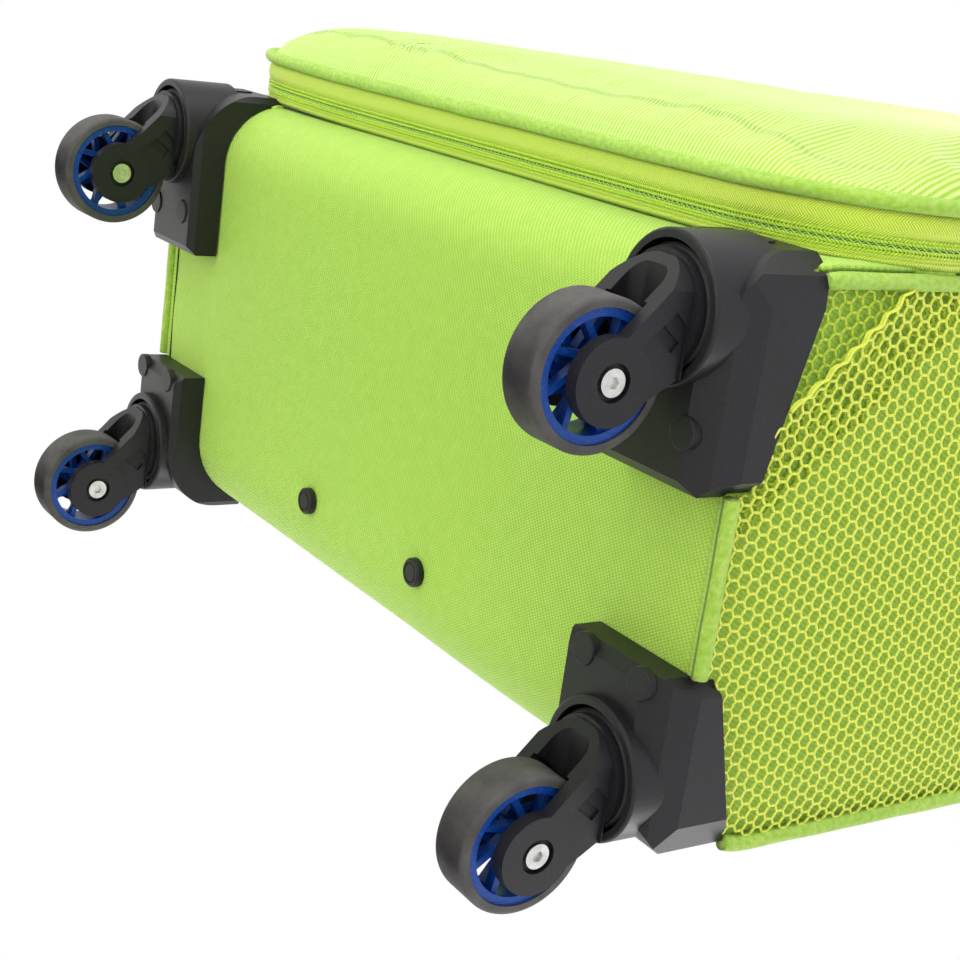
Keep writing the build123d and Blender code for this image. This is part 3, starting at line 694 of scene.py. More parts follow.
def even(points, normals, count):
    """A closed loop resampled at even steps: points, normals and distance along."""
    run = arc_lengths(points)
    at = np.arange(count) * run[-1] / count

    def along(values):
        ring = np.vstack([values, values[:1]])
        return np.stack([np.interp(at, run, ring[:, k]) for k in range(ring.shape[1])], 1)

    n = along(normals)
    return along(points), n / np.linalg.norm(n, axis=1)[:, None], at


def stitches(bundle, path, up, length=2.7 * MM, gap=1.1 * MM, radius=0.26 * MM):
    """A row of lockstitches lying on a surface along an open path."""
    path = np.asarray(path, float)
    up = np.broadcast_to(up, path.shape)
    run = arc_lengths(path, closed=False)
    for start in np.arange(gap, run[-1] - length, length + gap):
        at = start + length * np.array([0, 0.2, 0.5, 0.8, 1.0])
        line = np.stack([np.interp(at, run, path[:, k]) for k in range(3)], 1)
        normal = np.stack([np.interp(at, run, up[:, k]) for k in range(3)], 1)
        line += normal * (np.array([-0.8, 0.4, 0.7, 0.4, -0.8]) * radius)[:, None]
        bundle.add(*tube(line, normal, radius, 5))


def rim_sway(x, z):
    """The soft rim stands a little forward at its lower corners."""
    left = math.exp(-(((x + ZIP_X) / 0.075) ** 2 + ((z - MID_Z + ZIP_HALF_Z) / 0.060) ** 2))
    right = math.exp(-(((x - ZIP_X) / 0.060) ** 2 + ((z - MID_Z + ZIP_HALF_Z) / 0.060) ** 2))
    return -2.4 * MM * left - 0.4 * MM * right


# ---- side panels, front corners and side piping ----
def body_front(z):
    """Depth of the body's front face at a height: flat, with rounded lower and upper edges."""
    edge = min(z - BOTTOM_Z, TOP_Z - z)
    if edge >= FRONT_R:
        return RIM_Y
    edge = max(edge, 0.0)
    return RIM_Y + FRONT_R - math.sqrt(FRONT_R ** 2 - (FRONT_R - edge) ** 2)


def body_back(z):
    edge = min(z - BOTTOM_Z, TOP_Z - z)
    if edge >= CORNER_R:
        return BACK_Y
    edge = max(edge, 0.0)
    return BACK_Y - CORNER_R + math.sqrt(CORNER_R ** 2 - (CORNER_R - edge) ** 2)


def make_side_panel(sign, name, node):
    """Padded side panel, crowned between its piped seams."""
    steps = FRONT_R * (1 - np.cos(np.linspace(0, math.pi / 2, 12)))
    rows = np.concatenate([BOTTOM_Z + 0.4 * MM + steps,
                           np.linspace(BOTTOM_Z + FRONT_R, TOP_Z - FRONT_R, 80)[1:-1],
                           TOP_Z - 0.4 * MM - steps[::-1]])
    spread = (1 - np.cos(np.linspace(0, math.pi, 34))) / 2
    verts, uvs = [], []
    for z in rows:
        y0, y1 = body_front(z) + 0.6 * MM, body_back(z) - 0.6 * MM
        for t in spread:
            y = y0 + (y1 - y0) * t
            edge = min(y - y0, y1 - y, z - rows[0] + 1 * MM, rows[-1] - z + 1 * MM)
            swell = 1.0 - math.exp(-edge / (7 * MM))
            crown = 1.2 * MM * math.exp(-((z - MID_Z) / 0.22) ** 2) * math.sin(math.pi * t)
            out = -2.0 * MM + 1.7 * MM * swell + crown + 0.4 * MM * ripple(y, z, 2.0) * swell
            verts.append((sign * (SIDE_X + out), y, z))
            uvs.append((y, z))
    piece = new_piece(name, verts, grid_faces(len(rows), len(spread), flip=sign > 0), "body", "case",
                      uvs=uvs, replaces=(node,), slot="body_fabric")
    return line_inside(thicken(piece, 2.4 * MM))


def line_inside(piece):
    """The back of a padded wall shows the dark lining cloth."""
    piece.data.materials.append(MAT["lining"])
    wall = piece.modifiers["wall"]
    wall.material_offset = 1
    wall.material_offset_rim = 0
    return piece


def make_rim():
    """Front rim: corner wedges between the square body and the rounded zipper, and a flange inside it."""
    verts, uvs, faces = [], [], []
    centre_x, centre_z = ZIP_X - ZIP_R, ZIP_HALF_Z - ZIP_R
    for sx in (-1, 1):
        for sz in (-1, 1):
            base = len(verts)
            turns, steps = 28, 9
            for i in range(turns + 1):
                angle = math.radians(90 * i / turns)
                ca, sa = math.cos(angle), math.sin(angle)
                inner = ZIP_R - 0.8 * MM
                reach_x = (SIDE_X - 0.5 * MM - centre_x) / max(ca, 1e-6)
                reach_z = (MID_Z - BOTTOM_Z - 22 * MM - centre_z) / max(sa, 1e-6)
                outer = max(min(reach_x, reach_z), inner + 0.4 * MM)
                for j in range(steps + 1):
                    r = inner + (outer - inner) * j / steps
                    x = sx * (centre_x + r * ca)
                    z = MID_Z + sz * (centre_z + r * sa)
                    puff = 0.9 * MM * math.sin(math.pi * j / steps) * min(1.0, (outer - inner) / (12 * MM))
                    verts.append((x, body_front(z) - 0.15 * MM - puff, z))
                    uvs.append((x, z))
            for face in grid_faces(turns + 1, steps + 1, flip=sx * sz > 0):
                faces.append(tuple(v + base for v in face))
    wedge = new_piece("front_corner_wedges", verts, faces, "body", "case", uvs=uvs,
                      replaces=("front_rim_panel",), slot="body_fabric")
    thicken(wedge, 1.6 * MM)
    flange = band_on_loop("front_rim_flange", zip_loop(6 * MM),
                          [(-0.4 * MM, RIM_Y + 0.4 * MM), (-3 * MM, RIM_Y + 0.8 * MM),
                            (-9.5 * MM, RIM_Y + 1.2 * MM)],
                          "lining", "case", replaces=("front_rim_panel",), slot="lining")
    thicken(weld(flange), 1.2 * MM, 1.0)


PLATE_BOXES = []
for name in ("plate_front_right", "plate_back_right"):
    low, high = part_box(name)
    PLATE_BOXES.append((high.y, low.y) if low.y < 0 else (low.y, high.y))


def plate_covers(y, z):
    """True where a caster plate hides the side piping."""
    for y_in, y_tip in PLATE_BOXES:
        t = (y - y_in) / (y_tip - y_in)
        if 0.01 <= t <= 1.0 and z < (79.0 + 18.5 * t) * MM:
            return True
    return False


def make_side_piping():
    """Covered piping round both side seams; it ends under the caster plates."""
    radius = 2.9 * MM
    outline = []
    front, back = RIM_Y + 4.2 * MM, BACK_Y - 1 * MM
    low, high = BOTTOM_Z + 1 * MM, TOP_Z - 1 * MM
    corners = ((front + FRONT_R, low + FRONT_R, FRONT_R, 180),
               (back - CORNER_R, low + CORNER_R, CORNER_R, 270),
               (back - CORNER_R, high - CORNER_R, CORNER_R, 0),
               (front + FRONT_R, high - FRONT_R, FRONT_R, 90))
    for cy, cz, r, start in corners:
        for k in range(13):
            angle = math.radians(start + 90 * k / 12)
            outline.append((cy + r * math.cos(angle), cz + r * math.sin(angle)))
    outline = np.array(outline)
    path, _, _ = even(outline, np.ones_like(outline), 700)
    hidden = np.array([plate_covers(y, z) for y, z in path])
    start = int(np.argmax(hidden))
    path, hidden = np.roll(path, -start, 0), np.roll(hidden, -start)
    runs, run = [], []
    for point, hide in zip(path, hidden):
        if hide:
            if len(run) > 3:
                runs.append(run)
            run = []
        else:
            run.append(point)
    if len(run) > 3:
        runs.append(run)
    for sign, name in ((1, "side_piping_right"), (-1, "side_piping_left")):
        cover, thread = Bundle(), Bundle()
        for run in runs:
            line = np.array([(sign * (SIDE_X + 1.7 * MM), y, z) for y, z in run])
            wobble = 0.12 * MM * np.sin(np.arange(len(line)) * 0.37) * np.sin(np.arange(len(line)) * 0.11)
            cover.add(*tube(line, (sign, 0, 0), radius + wobble, 14))
            seam = line.copy()
            middle = np.array([0.012, MID_Z])
            toward = middle - line[:, 1:]
            toward /= np.linalg.norm(toward, axis=1)[:, None]
            seam[:, 1:] += 3.9 * MM * toward
            seam[:, 0] = sign * (SIDE_X - 0.15 * MM)
            stitches(thread, seam, (sign, 0, 0))
        cover.piece(name, "piping", "case", replaces=("side_piping",), slot="piping")
        thread.piece(name + "_stitches", "thread", "case")


make_side_panel(1, "side_panel_right", "right_side_panel")
make_side_panel(-1, "side_panel_left", "left_side_panel")
make_rim()
make_side_piping()


# ---- main zipper ----
def make_zipper():
    """Two tapes with a braided coil row each; the groove between them is the parting line."""
    loop = zip_loop(5 * MM)
    body_edge = band_on_loop("zipper_tape_body", loop, [
        (-1.0 * MM, RIM_Y + 1.2 * MM), (0.6 * MM, RIM_Y - 0.1 * MM), (1.3 * MM, RIM_Y - 0.6 * MM),
        (1.5 * MM, RIM_Y - 1.5 * MM), (0.9 * MM, RIM_Y - 1.9 * MM), (1.5 * MM, RIM_Y - 2.4 * MM),
        (1.4 * MM, RIM_Y - 3.2 * MM), (0.7 * MM, RIM_Y - 3.6 * MM), (0.4 * MM, CHAIN_Y + 0.5 * MM),
        (-0.6 * MM, CHAIN_Y + 0.4 * MM)], "tape", "case",
        replaces=("main_zipper_body_half",), slot="zipper_tape")
    lid_edge = band_on_loop("zipper_tape_lid", loop, [
        (-0.6 * MM, CHAIN_Y - 0.2 * MM), (0.4 * MM, CHAIN_Y - 0.3 * MM), (0.7 * MM, CHAIN_Y - 2.6 * MM),
        (1.3 * MM, CHAIN_Y - 3.1 * MM), (1.9 * MM, CHAIN_Y - 4.2 * MM), (2.3 * MM, CHAIN_Y - 6.0 * MM),
        (2.3 * MM, CHAIN_Y - 8.2 * MM), (1.9 * MM, CHAIN_Y - 9.8 * MM), (1.0 * MM, CHAIN_Y - 11.2 * MM),
        (-0.4 * MM, CHAIN_Y - 12.0 * MM)], "tape", "lid",
        replaces=("main_zipper_lid_half",), slot="zipper_tape")
    for tape in (body_edge, lid_edge):
        for vertex in tape.data.vertices:
            vertex.co.y += rim_sway(vertex.co.x, vertex.co.z)
        thicken(weld(tape), 0.7 * MM)
    points, normals, _ = even(*loop, 4800)
    sway = np.array([rim_sway(x, z) for x, z in points])
    turns = 700
    phase = np.arange(len(points)) * 2 * math.pi * turns / len(points)
    up = np.stack([normals[:, 0], np.zeros(len(points)), normals[:, 1]], 1)

    def strand(bundle, offset, hand, start, coil=0.40 * MM, radius=0.42 * MM):
        out = 1.25 * MM + coil * np.cos(phase + start)
        y = CHAIN_Y + offset + sway + hand * coil * np.sin(phase + start)
        line = np.stack([points[:, 0] + normals[:, 0] * out, y, points[:, 1] + normals[:, 1] * out], 1)
        bundle.add(*tube(line, up, radius, 5, closed=True))

    for name, body, side, node in (("zipper_braid_body", "case", 1, "main_zipper_body_half"),
                                   ("zipper_braid_lid", "lid", -1, "main_zipper_lid_half")):
        braid = Bundle()
        for offset, hand in ((1.1 * MM, 1), (2.35 * MM, -1)):
            for start in (0.0, math.pi):
                strand(braid, side * offset, hand, start)
        braid.piece(name, "braid", body, replaces=(node,), slot="zipper_tape")
    teeth = Bundle()
    strand(teeth, 0.0, 1, 0.0, 0.42 * MM, 0.2 * MM)
    teeth.piece("zipper_teeth", "pale_thread", "case")
    for name, body, y0, y1 in (("zipper_groove_body", "case", 0.0, 0.9),
                               ("zipper_groove_lid", "lid", -0.9, 0.0)):
        groove = band_on_loop(name, loop, [(0.45 * MM, CHAIN_Y + y1 * MM), (0.45 * MM, CHAIN_Y + y0 * MM)],
                              "coil", body)
        for vertex in groove.data.vertices:
            vertex.co.y += rim_sway(vertex.co.x, vertex.co.z)
        thicken(weld(groove), 0.4 * MM)


make_zipper()


# ---- lid ----
def corner_share(x, z):
    """1 at the lid's corners, falling away from them."""
    dx, dz = LID_X - abs(x), LID_HALF_Z - abs(z - MID_Z)
    return math.exp(-((dx / 0.045) ** 2 + (dz / 0.045) ** 2))


def lid_height(x, z):
    """How far the filled lid stands out: most at its foot, least at the top left."""
    lean = min(max(((z - 0.140) * 0.8 - x * 0.25) / 0.4, 0.0), 1.0)
    pinch = 0.9 if z < MID_Z else 0.35
    return (20.5 - 12.0 * lean) * MM * (1 - pinch * corner_share(x, z))


def pocket_edge(z):
    """x of the front pocket's left seam at a height: an S near the foot."""
    foot = (z - (MID_Z - LID_HALF_Z)) / MM
    return (-77.0 + 9.0 * math.exp(-((foot - 9.0) / 6.0) ** 2)
            - 14.0 / (1 + math.exp(-(foot - 34.0) / 6.0))) * MM


ZIP_LINE_Z = (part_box("front_pocket_zipper")[0].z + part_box("front_pocket_zipper")[1].z) / 2
POCKET_ZIP_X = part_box("front_pocket_zipper")[1].x
POCKET_ZIP_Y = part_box("front_pocket_zipper")[0].y


def lid_surface(x, z, depth):
    """y of the lid's front at a place, depth being the distance in from its outline."""
    y = LID_SEAM_Y - 2.6 * MM - lid_height(x, z) * (1 - math.exp(-depth / (6.5 * MM)))
    seam = (x - pocket_edge(z)) / MM
    if z < ZIP_LINE_Z - 6 * MM:
        fade = min(1.0, (ZIP_LINE_Z - z) / (60 * MM))
        y += 2.4 * MM * fade * math.exp(-(seam / 3.0) ** 2)
        y -= 1.6 * MM * fade * (1 - math.exp(-abs(seam) / 7.0)) * math.exp(-abs(seam) / 60.0)
    flat = math.exp(-((z - ZIP_LINE_Z) / (15 * MM)) ** 2) / (1 + math.exp((abs(x) - 0.172) / 0.006))
    y = y * (1 - flat) + (POCKET_ZIP_Y + 0.9 * MM) * flat
    return y + 0.45 * MM * ripple(x, z, 4.0) * (1 - math.exp(-depth / 0.02)) * (1 - flat)


def make_lid():
    """Padded lid front: one crowned cloth, sewn down at its edge and along the pocket's seams."""
    insets = np.array([0, 0.8, 1.8, 3, 4.5, 6.2, 8.2, 10.5, 13, 16, 19.5, 23.5,
                       28, 33, 38, 43, 48, 53, 56]) * MM
    insets = np.concatenate([insets, np.linspace(0.062, LID_X - 2.5 * MM, 27)])
    verts, uvs, depths = [], [], []
    corner_steps, long_steps, short_steps = 20, 74, 60
    for inset in insets:
        half_a, half_b = LID_X - inset, LID_HALF_Z - inset
        radius = max(LID_R - inset, 0.4 * MM)
        ring = []
        centres = ((half_a - radius, half_b - radius, 0, short_steps),
                   (radius - half_a, half_b - radius, 90, long_steps),
                   (radius - half_a, radius - half_b, 180, short_steps),
                   (half_a - radius, radius - half_b, 270, long_steps))
        for index, (ca, cb, start, straight) in enumerate(centres):
            for k in range(corner_steps + 1):
                angle = math.radians(start + 90 * k / corner_steps)
                ring.append((ca + radius * math.cos(angle), cb + radius * math.sin(angle)))
            na, nb = centres[(index + 1) % 4][:2]
            end = math.radians(start + 90)
            target = (na + radius * math.cos(end), nb + radius * math.sin(end))
            here = ring[-1]
            for k in range(1, straight):
                ring.append((here[0] + (target[0] - here[0]) * k / straight,
                             here[1] + (target[1] - here[1]) * k / straight))
        count = len(ring)
        for a, b in ring:
            x, z = a, MID_Z + b
            y = lid_surface(x, z, inset)
            verts.append((x, y, z))
            rise = LID_SEAM_Y - y
            slip = max(0.0, 1 - inset / (14 * MM)) * 9 * MM
            uvs.append((z - math.copysign(1, b) * (slip - rise * 0.4 * (inset < 14 * MM)), x))
            depths.append(inset)
    faces = []
    for i in range(len(insets) - 1):
        for j in range(count):
            a, b = i * count + j, i * count + (j + 1) % count
            faces.append((a, b, b + count, a + count))
    last = (len(insets) - 1) * count
    left = [last + 2 * corner_steps + short_steps + k for k in range(long_steps + 1)]
    right = [last + -k % count for k in range(long_steps + 1)]
    for k in range(long_steps):
        faces.append((left[k], left[k + 1], right[k + 1], right[k]))
    faces.append(tuple(range(last, left[0] + 1)))
    faces.append(tuple(range(left[-1], right[-1] + 1)))
    piece = new_piece("lid_front", verts, faces, "lid", "lid", uvs=uvs,
                      replaces=("lid_panel", "front_pocket"), slot="lid_fabric")
    puff(piece, depths, 3.0 * MM)
    for vertex in piece.data.vertices:
        if depths[vertex.index] < 20 * MM:
            vertex.co.y += rim_sway(vertex.co.x, vertex.co.z) * (1 - depths[vertex.index] / (20 * MM))
    line_inside(thicken(piece, 2.0 * MM))
    return piece


def puff(piece, depths, cap):
    """Cloth simulation of the filled panel: pressure from inside, held at the edge and the sewn seams."""
    mesh = piece.data
    rest = np.array([v.co[:] for v in mesh.vertices])
    held = piece.vertex_groups.new(name="held")
    sewn = []
    for vertex in mesh.vertices:
        x, _, z = vertex.co
        near_seam = abs(x - pocket_edge(z)) < 2.5 * MM and z < ZIP_LINE_Z - 20 * MM
        near_zip = abs(z - ZIP_LINE_Z) < 15 * MM and abs(x) < POCKET_ZIP_X + 12 * MM
        if depths[vertex.index] < 5 * MM or near_seam or near_zip:
            sewn.append(vertex.index)
    held.add(sewn, 1.0, "REPLACE")
    cloth = piece.modifiers.new("cloth", "CLOTH")
    cloth.settings.quality = 5
    cloth.settings.mass = 0.25
    cloth.settings.tension_stiffness = 12
    cloth.settings.compression_stiffness = 12
    cloth.settings.shear_stiffness = 6
    cloth.settings.bending_stiffness = 0.4
    cloth.settings.use_pressure = True
    cloth.settings.uniform_pressure_force = 3.0
    cloth.settings.vertex_group_mass = "held"
    cloth.settings.shrink_min = -0.012
    cloth.settings.effector_weights.gravity = 0.0
    cloth.point_cache.frame_end = 20
    scene = bpy.context.scene
    for frame_number in range(1, 21):
        scene.frame_set(frame_number)
    depsgraph = bpy.context.evaluated_depsgraph_get()
    solved = piece.evaluated_get(depsgraph).to_mesh()
    moved = np.array([v.co[:] for v in solved.vertices]) - rest
    piece.evaluated_get(depsgraph).to_mesh_clear()
    piece.modifiers.remove(cloth)
    scene.frame_set(1)
    moved[:, (0, 2)] *= 0.5
    size = np.linalg.norm(moved, axis=1)
    moved *= (np.tanh(size / cap) * cap / np.maximum(size, 1e-9))[:, None]
    mesh.vertices.foreach_set("co", (rest + moved).astype(np.float32).ravel())
    mesh.update()


def make_lid_trim():
    """Piping round the lid with its lapped joint, and the lining behind the padding."""
    loop = lid_loop(4 * MM)
    points, normals, run = even(*loop, 1100)
    sway = np.array([rim_sway(x, z) for x, z in points])
    line = np.stack([points[:, 0] + normals[:, 0] * 0.6 * MM, LID_SEAM_Y - 2.9 * MM + sway,
                     points[:, 1] + normals[:, 1] * 0.6 * MM], 1)
    up = np.stack([normals[:, 0], np.zeros(len(points)), normals[:, 1]], 1)
    radius = 2.85 * MM + 0.1 * MM * np.sin(run * 90) * np.sin(run * 37)
    foot = points[:, 1] < MID_Z - LID_HALF_Z + 5 * MM
    lap = points[:, 0] + 0.007
    radius = radius + np.where(foot & (lap > 0) & (lap < 26 * MM), 0.45 * MM * (1 - lap / (26 * MM)), 0.0)
    crease = np.where(foot, np.exp(-((lap / (0.9 * MM)) ** 2)), 0.0)
    radius = radius - 0.5 * MM * crease
    cover = Bundle()
    cover.add(*tube(line, up, radius, 16, closed=True))
    cover.piece("lid_piping_cover", "piping", "lid", replaces=("lid_piping",), slot="piping")
    verts, faces = [], []
    outline, _ = lid_loop(12 * MM, 8 * MM)
    for x, z in outline:
        verts.append((x, LID_SEAM_Y - 3.2 * MM, z))
    for x, z in outline:
        verts.append((x, LID_SEAM_Y - 2.0 * MM, z))
    n = len(outline)
    faces.append(tuple(range(n)))
    faces.append(tuple(range(2 * n - 1, n - 1, -1)))
    faces += [(i, (i + 1) % n, n + (i + 1) % n, n + i) for i in range(n)]
    lining = new_piece("lid_lining", verts, faces, "lining", "lid", smooth=False)


def make_pocket_trim():
    """Zipper of the front pocket, and the stitches along the pocket's seams."""
    verts, uvs = [], []
    half = 11 * MM
    rows = np.array([-half, -half + 1 * MM, -4.5 * MM, -1.5 * MM, -1.0 * MM, 1.0 * MM, 1.5 * MM, 4.5 * MM,
                     half - 1 * MM, half])
    lifts = np.array([0.0, 0.9, 1.1, 0.9, -0.2, -0.2, 0.9, 1.1, 0.9, 0.0]) * MM
    columns = np.linspace(-POCKET_ZIP_X, POCKET_ZIP_X, 80)
    for dz, lift in zip(rows, lifts):
        for x in columns:
            verts.append((x, POCKET_ZIP_Y + 0.6 * MM - lift * 0.5, ZIP_LINE_Z + dz))
            uvs.append((x, dz))
    piece = new_piece("pocket_zipper_tape", verts, grid_faces(len(rows), len(columns), flip=True),
                      "tape", "lid", uvs=uvs,
                      replaces=("front_pocket_zipper",), slot="zipper_tape")
    thicken(piece, 0.8 * MM)
    coil, thread = Bundle(), Bundle()
    steps = np.arange(0, 2 * POCKET_ZIP_X - 4 * MM, 0.25 * MM)
    for start in (0.0, math.pi):
        phase = steps * 2 * math.pi / (1.5 * MM) + start
        line = np.stack([steps - POCKET_ZIP_X + 2 * MM, POCKET_ZIP_Y + 0.35 * MM + 0.45 * MM * np.cos(phase),
                         ZIP_LINE_Z + 1.1 * MM * np.sin(phase)], 1)
        coil.add(*tube(line, (0, -1, 0), 0.28 * MM, 5))
    coil.piece("pocket_zipper_coil", "coil", "lid", replaces=("front_pocket_zipper",))
    for dz in (-9.4 * MM, 9.4 * MM):
        path = np.array([(x, POCKET_ZIP_Y - 0.05 * MM, ZIP_LINE_Z + dz) for x in columns])
        stitches(thread, path, (0, -1, 0))
    heights = np.linspace(MID_Z - LID_HALF_Z + 16 * MM, ZIP_LINE_Z - 26 * MM, 160)
    for shift in (4.2 * MM,):
        path = np.array([(pocket_edge(z) + shift, lid_surface(pocket_edge(z) + shift, z, 0.03) - 0.25 * MM, z)
                         for z in heights])
        stitches(thread, path, (0, -1, 0))
    thread.piece("pocket_stitches", "thread", "lid")


make_lid()
make_lid_trim()
make_pocket_trim()


# ---- side net pocket ----
NET_CELL_Y, NET_ROW_Z = 5.2 * MM, 4.3 * MM
NET_YARN_R = 0.55 * MM
NET_Y0, NET_Y1 = low_net.y - 3 * MM, high_net.y + 3 * MM
NET_Z0, NET_Z1 = BOTTOM_Z + 2 * MM, high_net.z - 5 * MM
FOLD_A, FOLD_B = (-0.0835, 0.133), (-0.048, 0.093)


def fold_side(y, z):
    """Distance behind the loose net's fold, in metres; negative in the lower front corner."""
    dy, dz = FOLD_B[0] - FOLD_A[0], FOLD_B[1] - FOLD_A[1]
    return ((z - FOLD_A[1]) * dy - (y - FOLD_A[0]) * dz) / math.hypot(dy, dz)


def net_segments(inside, lift, shift=(0.0, 0.0), turn=0.0):
    """Yarn segments of the hexagonal net where inside(y, z) holds, on the surface x = lift(y, z)."""
    a, w = NET_ROW_Z / 1.5, NET_CELL_Y / 2
    middle_y, middle_z = (NET_Y0 + NET_Y1) / 2, (NET_Z0 + NET_Z1) / 2
    ct, st = math.cos(turn), math.sin(turn)
    starts, ends = [], []

    def warp(y, z):
        yy, zz = y - middle_y, z - middle_z
        y, z = middle_y + ct * yy - st * zz, middle_z + st * yy + ct * zz
        return (y + 0.9 * MM * math.sin(z * 31 + 2.0) * math.sin(y * 27),
                z + 0.9 * MM * math.sin(y * 33 + 1.0) * math.sin(z * 19))

    for row in range(-4, int((NET_Z1 - NET_Z0) / NET_ROW_Z) + 6):
        for column in range(-6, int((NET_Y1 - NET_Y0) / NET_CELL_Y) + 8):
            cy = NET_Y0 + shift[0] + NET_CELL_Y * (column + 0.5 * (row % 2))
            cz = NET_Z0 + shift[1] + NET_ROW_Z * row
            corners = ((cy - w, cz + a / 2), (cy, cz + a), (cy + w, cz + a / 2), (cy + w, cz - a / 2))
            placed = [warp(*corner) for corner in corners]
            for p, q in zip(placed[:-1], placed[1:]):
                if inside(*p) and inside(*q):
                    starts.append((lift(*p), *p))
                    ends.append((lift(*q), *q))
    return np.array(starts), np.array(ends)


def on_panel(y, z):
    edge_y = min(y - body_front(z) - 5.5 * MM, body_back(z) - 3.5 * MM - y)
    return edge_y > 0 and BOTTOM_Z + 3 * MM < z < NET_Z1 and not plate_covers(y, z + 2 * MM)


def loose_lift(y, z):
    """x of the loose outer net: slack, with soft waves, held at the seams."""
    edge = min(y - body_front(z) - 4 * MM, body_back(z) - y, (z - BOTTOM_Z) * 0.7)
    slack = 1 - math.exp(-max(edge, 0.0) / (16 * MM))
    near = fold_side(y, z)
    roll = 1.6 * MM * math.exp(-(near / (6 * MM)) ** 2)
    wave = 1.1 * MM * math.sin(38 * y + 21 * z) * math.sin(16 * z - 9 * y + 0.8)
    return SIDE_X + 1.5 * MM + (3.2 * MM + wave) * slack + roll


def net_area(inside):
    """Panel area in square metres where inside(y, z) holds, counted on a fine grid."""
    step = 1 * MM
    heights = np.arange(NET_Z0, NET_Z1, step)
    return step * step * sum(inside(y, z) for y in np.arange(NET_Y0, NET_Y1, step) for z in heights)


def in_loose_net(y, z):
    return on_panel(y, z) and fold_side(y, z) > 0


def in_fold(y, z):
    return on_panel(y, z) and fold_side(y, z) < 30 * MM


def make_net():
    outer = net_segments(in_loose_net, loose_lift)
    inner = net_segments(in_fold, lambda y, z: SIDE_X + 0.9 * MM + 0.25 * MM * math.sin(60 * y),
                         (1.7 * MM, 2.0 * MM), -0.18)
    bundle = Bundle()
    bundle.add(*rods(*outer, NET_YARN_R, 6))
    net = bundle.piece("pocket_net", "net", "case", replaces=("mesh_pocket",), slot="mesh")
    net_area(in_loose_net)
    second = Bundle()
    second.add(*rods(*inner, NET_YARN_R, 6))
    # the folded-under net layer takes the darker copy of the yarn: painted shade
    under = second.piece("pocket_net_fold", "net_painted_shade", "case", replaces=("mesh_pocket",), slot="mesh")
    net_area(in_fold)
    edge = Bundle()
    steps = np.linspace(-0.12, 1.12, 60)
    for rise in (0.0, 0.9 * MM):
        path = []
        for t in steps:
            y = FOLD_A[0] + (FOLD_B[0] - FOLD_A[0]) * t + 0.6 * MM * math.sin(t * 40 + rise * 900)
            z = FOLD_A[1] + (FOLD_B[1] - FOLD_A[1]) * t + 0.6 * MM * math.cos(t * 37)
            if on_panel(y, z):
                path.append((loose_lift(y, z) + rise - 0.5 * MM, y, z))
        edge.add(*tube(path, (1, 0, 0), NET_YARN_R, 6))
    edge.piece("pocket_net_edge", "net", "case")
    hem = []
    uvs = []
    rows = np.array([(0.0, -6.0), (1.6, -6.4), (2.6, -5.0), (2.8, 0.0),
                     (2.6, 5.0), (1.6, 6.2), (0.0, 6.0)]) * MM
    columns = np.linspace(body_front(NET_Z1) + 5 * MM, BACK_Y - 4 * MM, 60)
    for dx, dz in rows:
        for y in columns:
            ease = math.sin(math.pi * (y - columns[0]) / (columns[-1] - columns[0]))
            gather = 0.35 * MM * math.sin(y * 900)
            hem.append((SIDE_X + 0.4 * MM + dx + 1.8 * MM * ease + gather, y, NET_Z1 + dz))
            uvs.append((y, dz))
    band = new_piece("pocket_net_hem", hem, grid_faces(len(rows), len(columns), flip=True), "piping", "case",
                     uvs=uvs, replaces=("mesh_pocket",), slot="piping")
    thicken(band, 0.7 * MM)
    thread = Bundle()
    for dz in (-3.6 * MM, 3.6 * MM):
        shares = (columns - columns[0]) / (columns[-1] - columns[0])
        path = [(SIDE_X + 3.2 * MM + 1.8 * MM * math.sin(math.pi * share), y, NET_Z1 + dz)
                for y, share in zip(columns, shares)]
        stitches(thread, path, (1, 0, 0))
    thread.piece("pocket_hem_stitches", "thread", "case")


make_net()


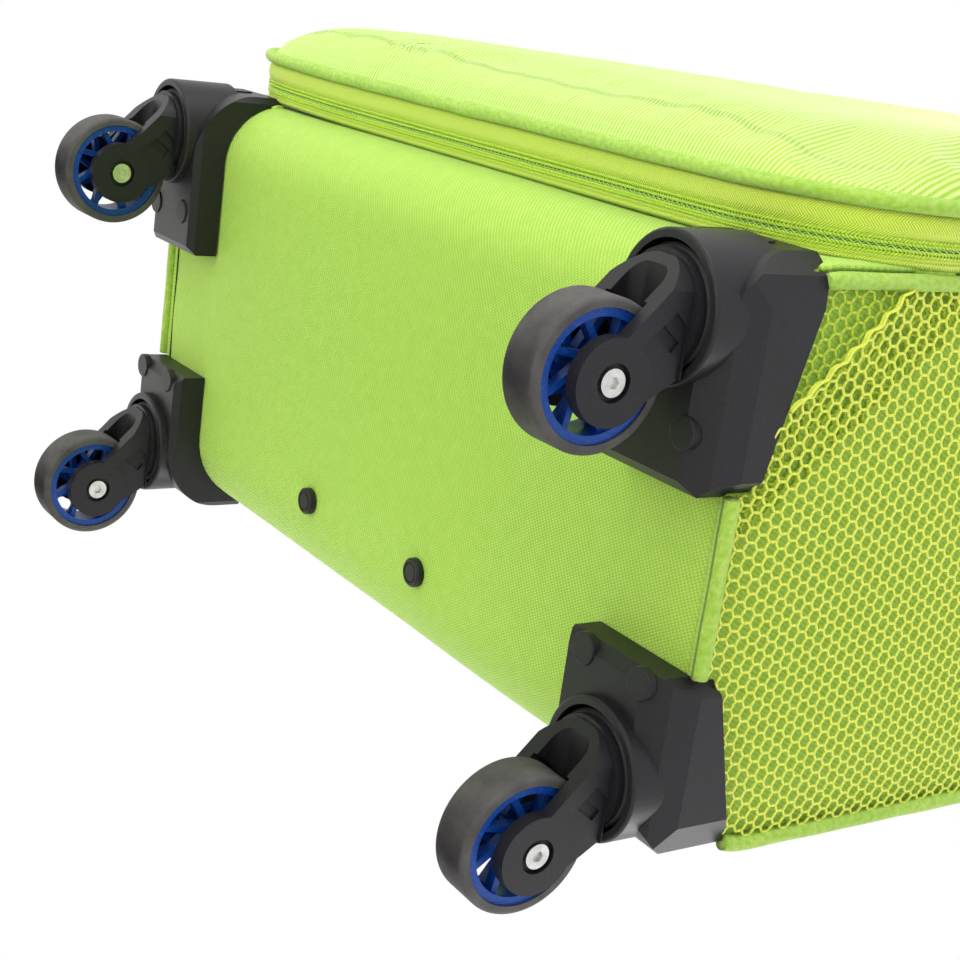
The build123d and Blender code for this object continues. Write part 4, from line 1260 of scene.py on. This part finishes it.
# ---- padded carry handles ----
def make_handle(name, node, body, place, half, gap, thick, width, leg):
    """Padded grab handle: webbing legs, a rounded shoulder and a thicker middle."""
    shoulder = 9 * MM
    path = []
    for t in np.linspace(0, 1, 8):
        path.append((-half, -leg + (gap - shoulder + leg) * t, 0.0))
    for angle in np.linspace(180, 90, 9)[1:]:
        turn = math.radians(angle)
        path.append((-half + shoulder + shoulder * math.cos(turn), gap - shoulder + shoulder * math.sin(turn),
                     (180 - angle) / 90))
    for x in np.linspace(-half + shoulder, 0, 22)[1:]:
        path.append((x, gap + 1.0 * MM * math.cos(x / half * 1.4), 1.0))
    path += [(-x, h, k) for x, h, k in path[-2::-1]]
    verts, uvs = [], []
    sides = 20
    run = 0.0
    for index, (x, h, k) in enumerate(path):
        before, after = path[max(index - 1, 0)], path[min(index + 1, len(path) - 1)]
        tangent = np.array([after[0] - before[0], after[1] - before[1]])
        tangent /= np.linalg.norm(tangent)
        normal = np.array([-tangent[1], tangent[0]])
        pad = min(1.0, max(0.0, (half * 0.86 - abs(x)) / (10 * MM))) * k
        w = (width - 6 * MM) / 2 + 3 * MM * pad
        t = 1.6 * MM + (thick / 2 - 1.6 * MM) * pad
        run += math.dist((x, h), before[:2])
        for s in range(sides):
            angle = 2 * math.pi * s / sides
            c, d = math.cos(angle), math.sin(angle)
            across = math.copysign(abs(c) ** 0.55, c) * w
            up = math.copysign(abs(d) ** 0.8, d) * t
            verts.append(place(x + normal[0] * up, across, h + normal[1] * up))
            uvs.append((run, angle / (2 * math.pi) * 2 * (width + thick)))
    faces = []
    for i in range(len(path) - 1):
        for s in range(sides):
            k = (s + 1) % sides
            faces.append((i * sides + s, i * sides + k, (i + 1) * sides + k, (i + 1) * sides + s))
    faces += [tuple(range(sides - 1, -1, -1)), tuple(range((len(path) - 1) * sides, len(path) * sides))]
    piece = new_piece(name, verts, faces, "piping", body, uvs=uvs, replaces=(node,), slot="handle_padding")
    bm = bmesh.new()
    bm.from_mesh(piece.data)
    bmesh.ops.recalc_face_normals(bm, faces=bm.faces)
    bm.to_mesh(piece.data)
    bm.free()
    thread = Bundle()
    for side in (-1, 1):
        rows = [place(x, side * (width / 2 - 4 * MM),
                      gap + thick / 2 + 0.5 * MM - 1.2 * MM * abs(x / half) ** 4)
                for x in np.linspace(-half * 0.74, half * 0.74, 60)]
        stitches(thread, rows, np.array(place(0, 0, 1)) - np.array(place(0, 0, 0)))
    thread.piece(name + "_stitches", "thread", body)


low_top, high_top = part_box("top_handle")
top_y = (low_top.y + high_top.y) / 2
make_handle("top_handle_pad", "top_handle", "top_handle_body", lambda a, b, c: (a, top_y + b, TOP_Z + c),
            81 * MM, 13.0 * MM, 8 * MM, 24 * MM, 21 * MM)
low_side, high_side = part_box("side_handle")
side_y, side_z = (low_side.y + high_side.y) / 2, (low_side.z + high_side.z) / 2
make_handle("side_handle_pad", "side_handle", "side_handle_body",
            lambda a, b, c: (-SIDE_X - c, side_y + b, side_z + a),
            81 * MM, 7.4 * MM, 5 * MM, 24 * MM, 15 * MM)


def make_hinge():
    """Cloth hinge on the left: it crosses from the body to the lid outside the zipper tapes."""
    rows = np.linspace(MID_Z - 0.19, MID_Z + 0.19, 60)
    section = [(-ZIP_X - 1.9 * MM, RIM_Y + 0.5 * MM), (-ZIP_X - 2.6 * MM, RIM_Y - 2 * MM)]
    section += [(-ZIP_X - 3.0 * MM, y) for y in np.linspace(RIM_Y - 4 * MM, LID_SEAM_Y + 3 * MM, 9)]
    section += [(-ZIP_X - 2.7 * MM, LID_SEAM_Y + 1 * MM)]
    verts, uvs = [], []
    for z in rows:
        for x, y in section:
            verts.append((x, y, z))
            uvs.append((z, y))
    piece = new_piece("hinge_cloth", verts, grid_faces(len(rows), len(section)), "body", None, uvs=uvs,
                      slot="body_fabric")
    thicken(piece, 0.8 * MM)
    return piece


hinge = make_hinge()
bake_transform(hinge)
